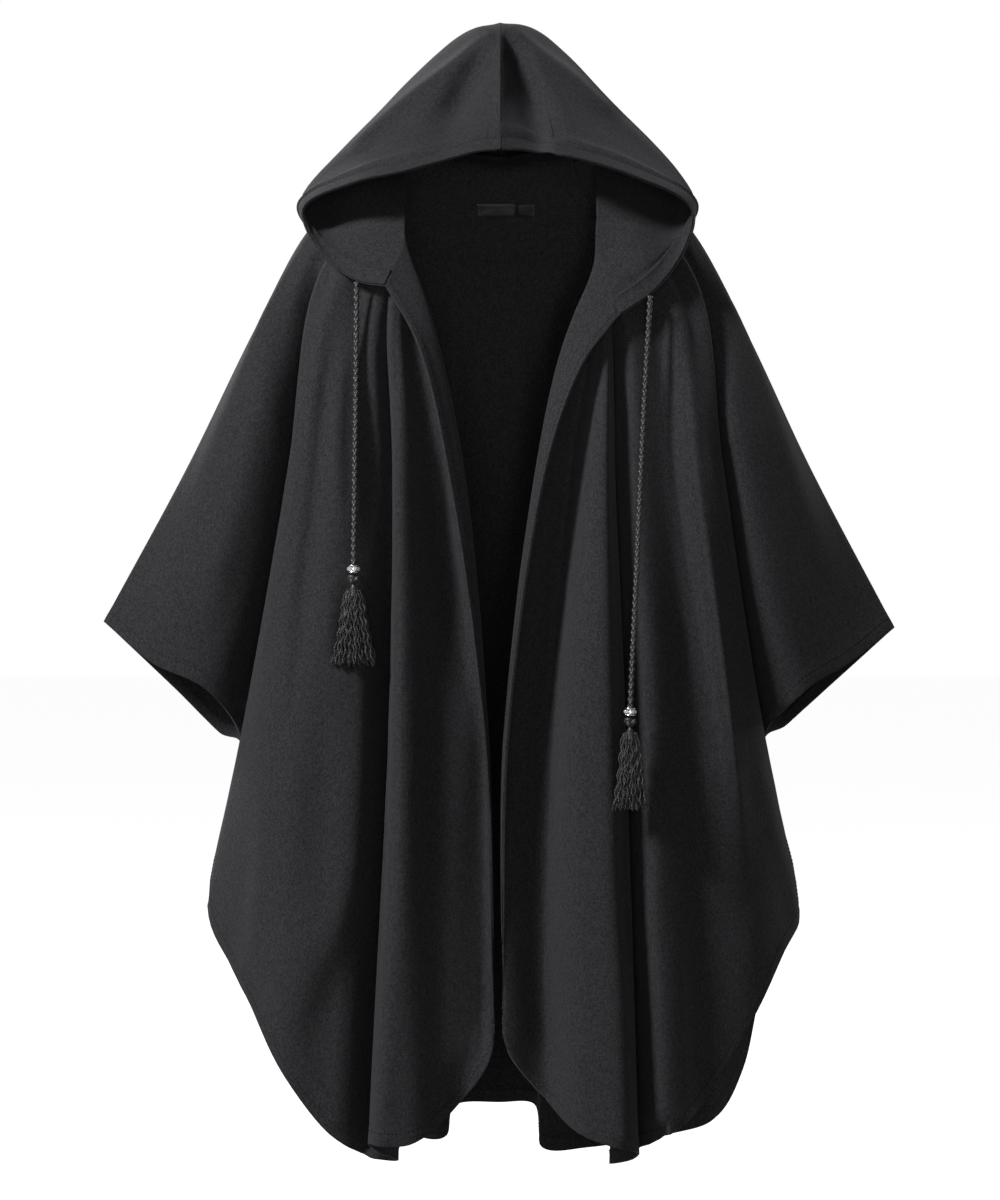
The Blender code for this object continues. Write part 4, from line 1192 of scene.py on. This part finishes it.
def hold_edges(plain, pressed):
    """Keeps the middle seam, the neck seam and the seam at the back of the head where they are sewn."""
    across = run_across(plain)
    gaps = np.minimum(np.minimum(across, across[:, -1:] - across), distance_in(plain, "hem"))
    free = soft_step(gaps, 0.006, 0.012)
    return plain + (pressed - plain) * free[..., None]


def meeting(front, half_of_back):
    """One side of the neckline, from the opening round to the middle of the back."""
    return np.concatenate([front, half_of_back[1:]])


middle = back.shape[1] // 2
below_row = 8
hood_pieces = {}
for name, rings, creases, front, side in (
    ("right", HOOD_RIGHT, HOOD_FOLDS_RIGHT, front_right, -1),
    ("left", HOOD_LEFT, HOOD_FOLDS_LEFT, front_left, 1),
):
    half = back[:, : middle + 1] if side < 0 else back[:, : middle - 1 : -1]
    neck_path = meeting(front[0], half[0])
    below_path = meeting(front[below_row], half[below_row])
    plain = hood_grid(rings, side, neck_path, below_path)
    grid = uneven(plain, 0.0006, 20 + side)
    out_ways = (normals_of(plain) * side).transpose(1, 0, 2)
    grid = draw_folds(grid.transpose(1, 0, 2), creases, STEPS_PER_RING, out_ways).transpose(1, 0, 2)
    grid = hold_edges(plain, grid)
    sewn_down = np.exp(-(((np.arange(len(grid)) - CASING_ROWS) / 0.8) ** 2)) * SEWN_RIDGE
    from_neck = np.minimum(np.arange(grid.shape[1])[::-1] / 6, 1)
    grid += out_ways.transpose(1, 0, 2) * (sewn_down[:, None] * from_neck)[..., None]
    piece = add_cloth(f"hood_{name}_cloth", grid, CLOTH, 1.0, wool, "wool", f"hood_{name}")
    hood_pieces[name] = {"piece": piece, "grid": grid, "side": side}


# The casing: a band of the same wool stitched inside the hood's free edge, where the drawcord runs.
# Its inner edge is turned under and stitched down through the hood.
CASING_CLOTH = 0.0012
CASING_LIFT = (CLOTH + CASING_CLOTH) / 2 + 0.0008
ROLL_HEIGHT = 0.0017
PUCKER_LENGTH = 0.019
PUCKER_HEIGHT = 0.00035
for name, made in hood_pieces.items():
    inner_roll = np.exp(-(((np.arange(CASING_ROWS) - 7.2) / 1.1) ** 2)) * ROLL_HEIGHT
    puckers = np.sin(reaches(made["grid"][4]) * math.tau / PUCKER_LENGTH) * PUCKER_HEIGHT
    lift = CASING_LIFT + inner_roll[:, None] + puckers * np.linspace(0.2, 1, CASING_ROWS)[:, None]
    inward = normals_of(made["grid"])[:CASING_ROWS] * made["side"]
    band = made["grid"][:CASING_ROWS] - inward * lift[..., None]
    band[0] += (band[1] - band[0]) * 0.4
    band = band[:, 1:-1]
    casing = add_cloth(f"casing_{name}_band", band, CASING_CLOTH, 1.0, wool, "wool", f"casing_{name}")
    made["casing"] = casing
    made["band"] = band


# The facing: a curved piece of the same wool inside the back of the neck, with a rolled lower edge.
# It covers the neck seam. The label and the size tab are blank black satin, laid flat on it.
FACING_CLOTH = 0.0014
FACING_LIFT = (CLOTH + FACING_CLOTH) / 2 + SEAM_GAP
FACING_DEPTH = 0.112
LABEL_CLOTH = 0.0009
FACING_FIRST_FOLD = 7
FACING_ABOVE_NECK = 0.010
FACING_ROLL_WIDTH = 0.0045
FACING_ROLL_HEIGHT = 0.0030


def inside_strip(grid, first, last, distances, offset):
    """A strip that lies against a grid at these distances from its first row."""
    moved = grid + normals_of(grid) * offset
    strip = []
    for column in range(first, last + 1):
        reach = reaches(grid[:, column])
        line = [np.interp(distances, reach, moved[:, column, axis]) for axis in range(3)]
        strip.append(np.stack(line, axis=1))
    return np.array(strip).transpose(1, 0, 2)


def above_neck(first_row):
    """Rows of the facing above the neckline, against the inside of the hood, with the top row first."""
    rows = [[], [], []]
    for point in first_row:
        made = hood_pieces["left" if point[0] > 0 else "right"]
        hood = made["grid"]
        inward = -normals_of(hood) * made["side"] * FACING_LIFT
        nearest = np.linalg.norm(hood[:, -1] - point, axis=1).argmin()
        line = (hood + inward)[nearest, ::-1]
        places = along(line, np.array((1.0, 0.7, 0.4)) * FACING_ABOVE_NECK)
        for row, place in zip(rows, places):
            row.append((point[0], place[1], place[2]))
    return np.array(rows)


def patch_on(grid, box, columns, rows, offset):
    """A small flat piece in front of a grid, between the left, right, bottom and top of its box."""
    surface = BVHTree.FromPolygons(grid.reshape(-1, 3).tolist(), grid_faces(grid))
    low, high = box
    patch = np.zeros((rows + 1, columns + 1, 3))
    for row in range(rows + 1):
        for column in range(columns + 1):
            x = low.x + (high.x - low.x) * column / columns
            z = high.z + (low.z - high.z) * row / rows
            hit, normal, _, _ = surface.ray_cast(Vector((x, -0.5, z)), Vector((0, 1, 0)))
            patch[row, column] = hit - normal * math.copysign(offset, normal.y)
    return patch


def label_satin(name):
    """Plain black satin ribbon, with the faint ribs of its weave."""
    material, tree, shader = new_material(name, (0.004, 0.004, 0.005), 0.45)
    shader.inputs["Specular IOR Level"].default_value = 0.3
    shader.inputs["Anisotropic"].default_value = 0.5
    ribs = add_noise(tree, 900, 1, (0.05, 1, 3))
    add_bump(tree, shader, ribs.outputs["Fac"], 0.0002, 0.25)
    return material


back_grid = body_pieces["back"]["grid"]
first = STEPS_PER_FOLD * FACING_FIRST_FOLD
downs = np.linspace(0.0012, FACING_DEPTH, 30)
last = back_grid.shape[1] - 1 - first
facing_grid = inside_strip(back_grid, first, last, downs, -FACING_LIFT)
rolled = np.exp(-(((FACING_DEPTH - downs) / FACING_ROLL_WIDTH) ** 2)) * FACING_ROLL_HEIGHT
facing_grid -= normals_of(facing_grid) * rolled[:, None, None]
facing_grid = np.concatenate([above_neck(facing_grid[0]), facing_grid])
facing = add_cloth("neck_facing_cloth", facing_grid, FACING_CLOTH, 1.0, wool, "wool", "neck_facing")
satin = label_satin("blank_label_satin")
lift = (FACING_CLOTH + LABEL_CLOTH) / 2 + SEAM_GAP
for name, columns in (("label", 12), ("size_tab", 6)):
    patch = patch_on(facing_grid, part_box(name), columns, 4, lift)
    add_cloth(f"{name}_satin", patch, LABEL_CLOTH, 1.0, satin, "satin", name)


# The sewing: black thread in long even topstitches, a few millimetres in from each turned edge.
# Each stitch is a short rounded lens of thread, sunk a little into the wool.
STITCH_LENGTH = 0.0036
STITCH_PITCH = 0.0046
STITCH_RADIUS = 0.00042
STITCH_SIDES = 5
STITCHED_ROW = 7

# Where each ring of a stitch lies along it, its size, and how far it rises out of the wool.
STITCH_RINGS = ((-0.5, 0.25, -0.5), (-0.3, 0.9, 0.1), (0.0, 1.0, 0.3), (0.3, 0.9, 0.1), (0.5, 0.25, -0.5))


def stitches(line, out_ways, sink):
    """A row of stitches along a line of points, on the side where out_ways point."""
    reach = reaches(line)
    count = int(reach[-1] / STITCH_PITCH)
    starts = (np.arange(count) + 0.25) * STITCH_PITCH
    middles = along(line, starts + STITCH_LENGTH / 2)
    ways = along(line, starts + STITCH_LENGTH) - along(line, starts)
    ways /= np.linalg.norm(ways, axis=1, keepdims=True)
    outs = np.stack([np.interp(starts, reach, out_ways[:, axis]) for axis in range(3)], axis=1)
    outs /= np.linalg.norm(outs, axis=1, keepdims=True)
    sides = np.cross(ways, outs)
    parts = []
    for middle_point, way, out, side in zip(middles, ways, outs, sides):
        points = []
        for place, size, rise in STITCH_RINGS:
            core = middle_point + way * STITCH_LENGTH * place + out * (sink + rise * STITCH_RADIUS)
            for corner in range(STITCH_SIDES):
                turn = math.tau * corner / STITCH_SIDES
                points.append(core + (out * math.cos(turn) + side * math.sin(turn)) * STITCH_RADIUS * size)
        parts.append((points, ring_faces(len(STITCH_RINGS), STITCH_SIDES)))
    return parts


def line_in_from(grid, edge, distance):
    """The line at a distance in from an edge, and the cloth's normals along it."""
    normals = normals_of(grid)
    inset = distance_in(grid, edge)
    if edge == "hem":
        grid, normals, inset = (array[::-1].swapaxes(0, 1) for array in (grid, normals, inset))
    points = []
    ways = []
    for line, normal, reach in zip(grid, normals, inset):
        points.append([np.interp(distance, reach, line[:, axis]) for axis in range(3)])
        ways.append([np.interp(distance, reach, normal[:, axis]) for axis in range(3)])
    return np.array(points), np.array(ways)


def add_stitching(name, parts):
    return add_piece(joined_mesh(f"{name}_topstitching", parts), thread, "thread")


thread = satin_thread("sewing_thread", 0.010, 0.7, 0.25)
for name, made in body_pieces.items():
    rows = [("hem", HEM_STITCHING)]
    if name != "back":
        rows.append(("opening", STITCH_INSET))
    parts = []
    for edge, inset in rows:
        line, ways = line_in_from(made["grid"], edge, inset)
        for side in (1, -1):
            parts += stitches(line, ways * side, TURNED_CLOTH / 2)
    sewing = add_stitching(name, parts)

for name, made in hood_pieces.items():
    grid = made["grid"]
    parts = stitches(grid[STITCHED_ROW], normals_of(grid)[STITCHED_ROW] * made["side"], CLOTH / 2)
    band = made["band"]
    parts += stitches(band[-2], -normals_of(band)[-2] * made["side"], CASING_CLOTH / 2)
    sewing = add_stitching(f"hood_{name}", parts)
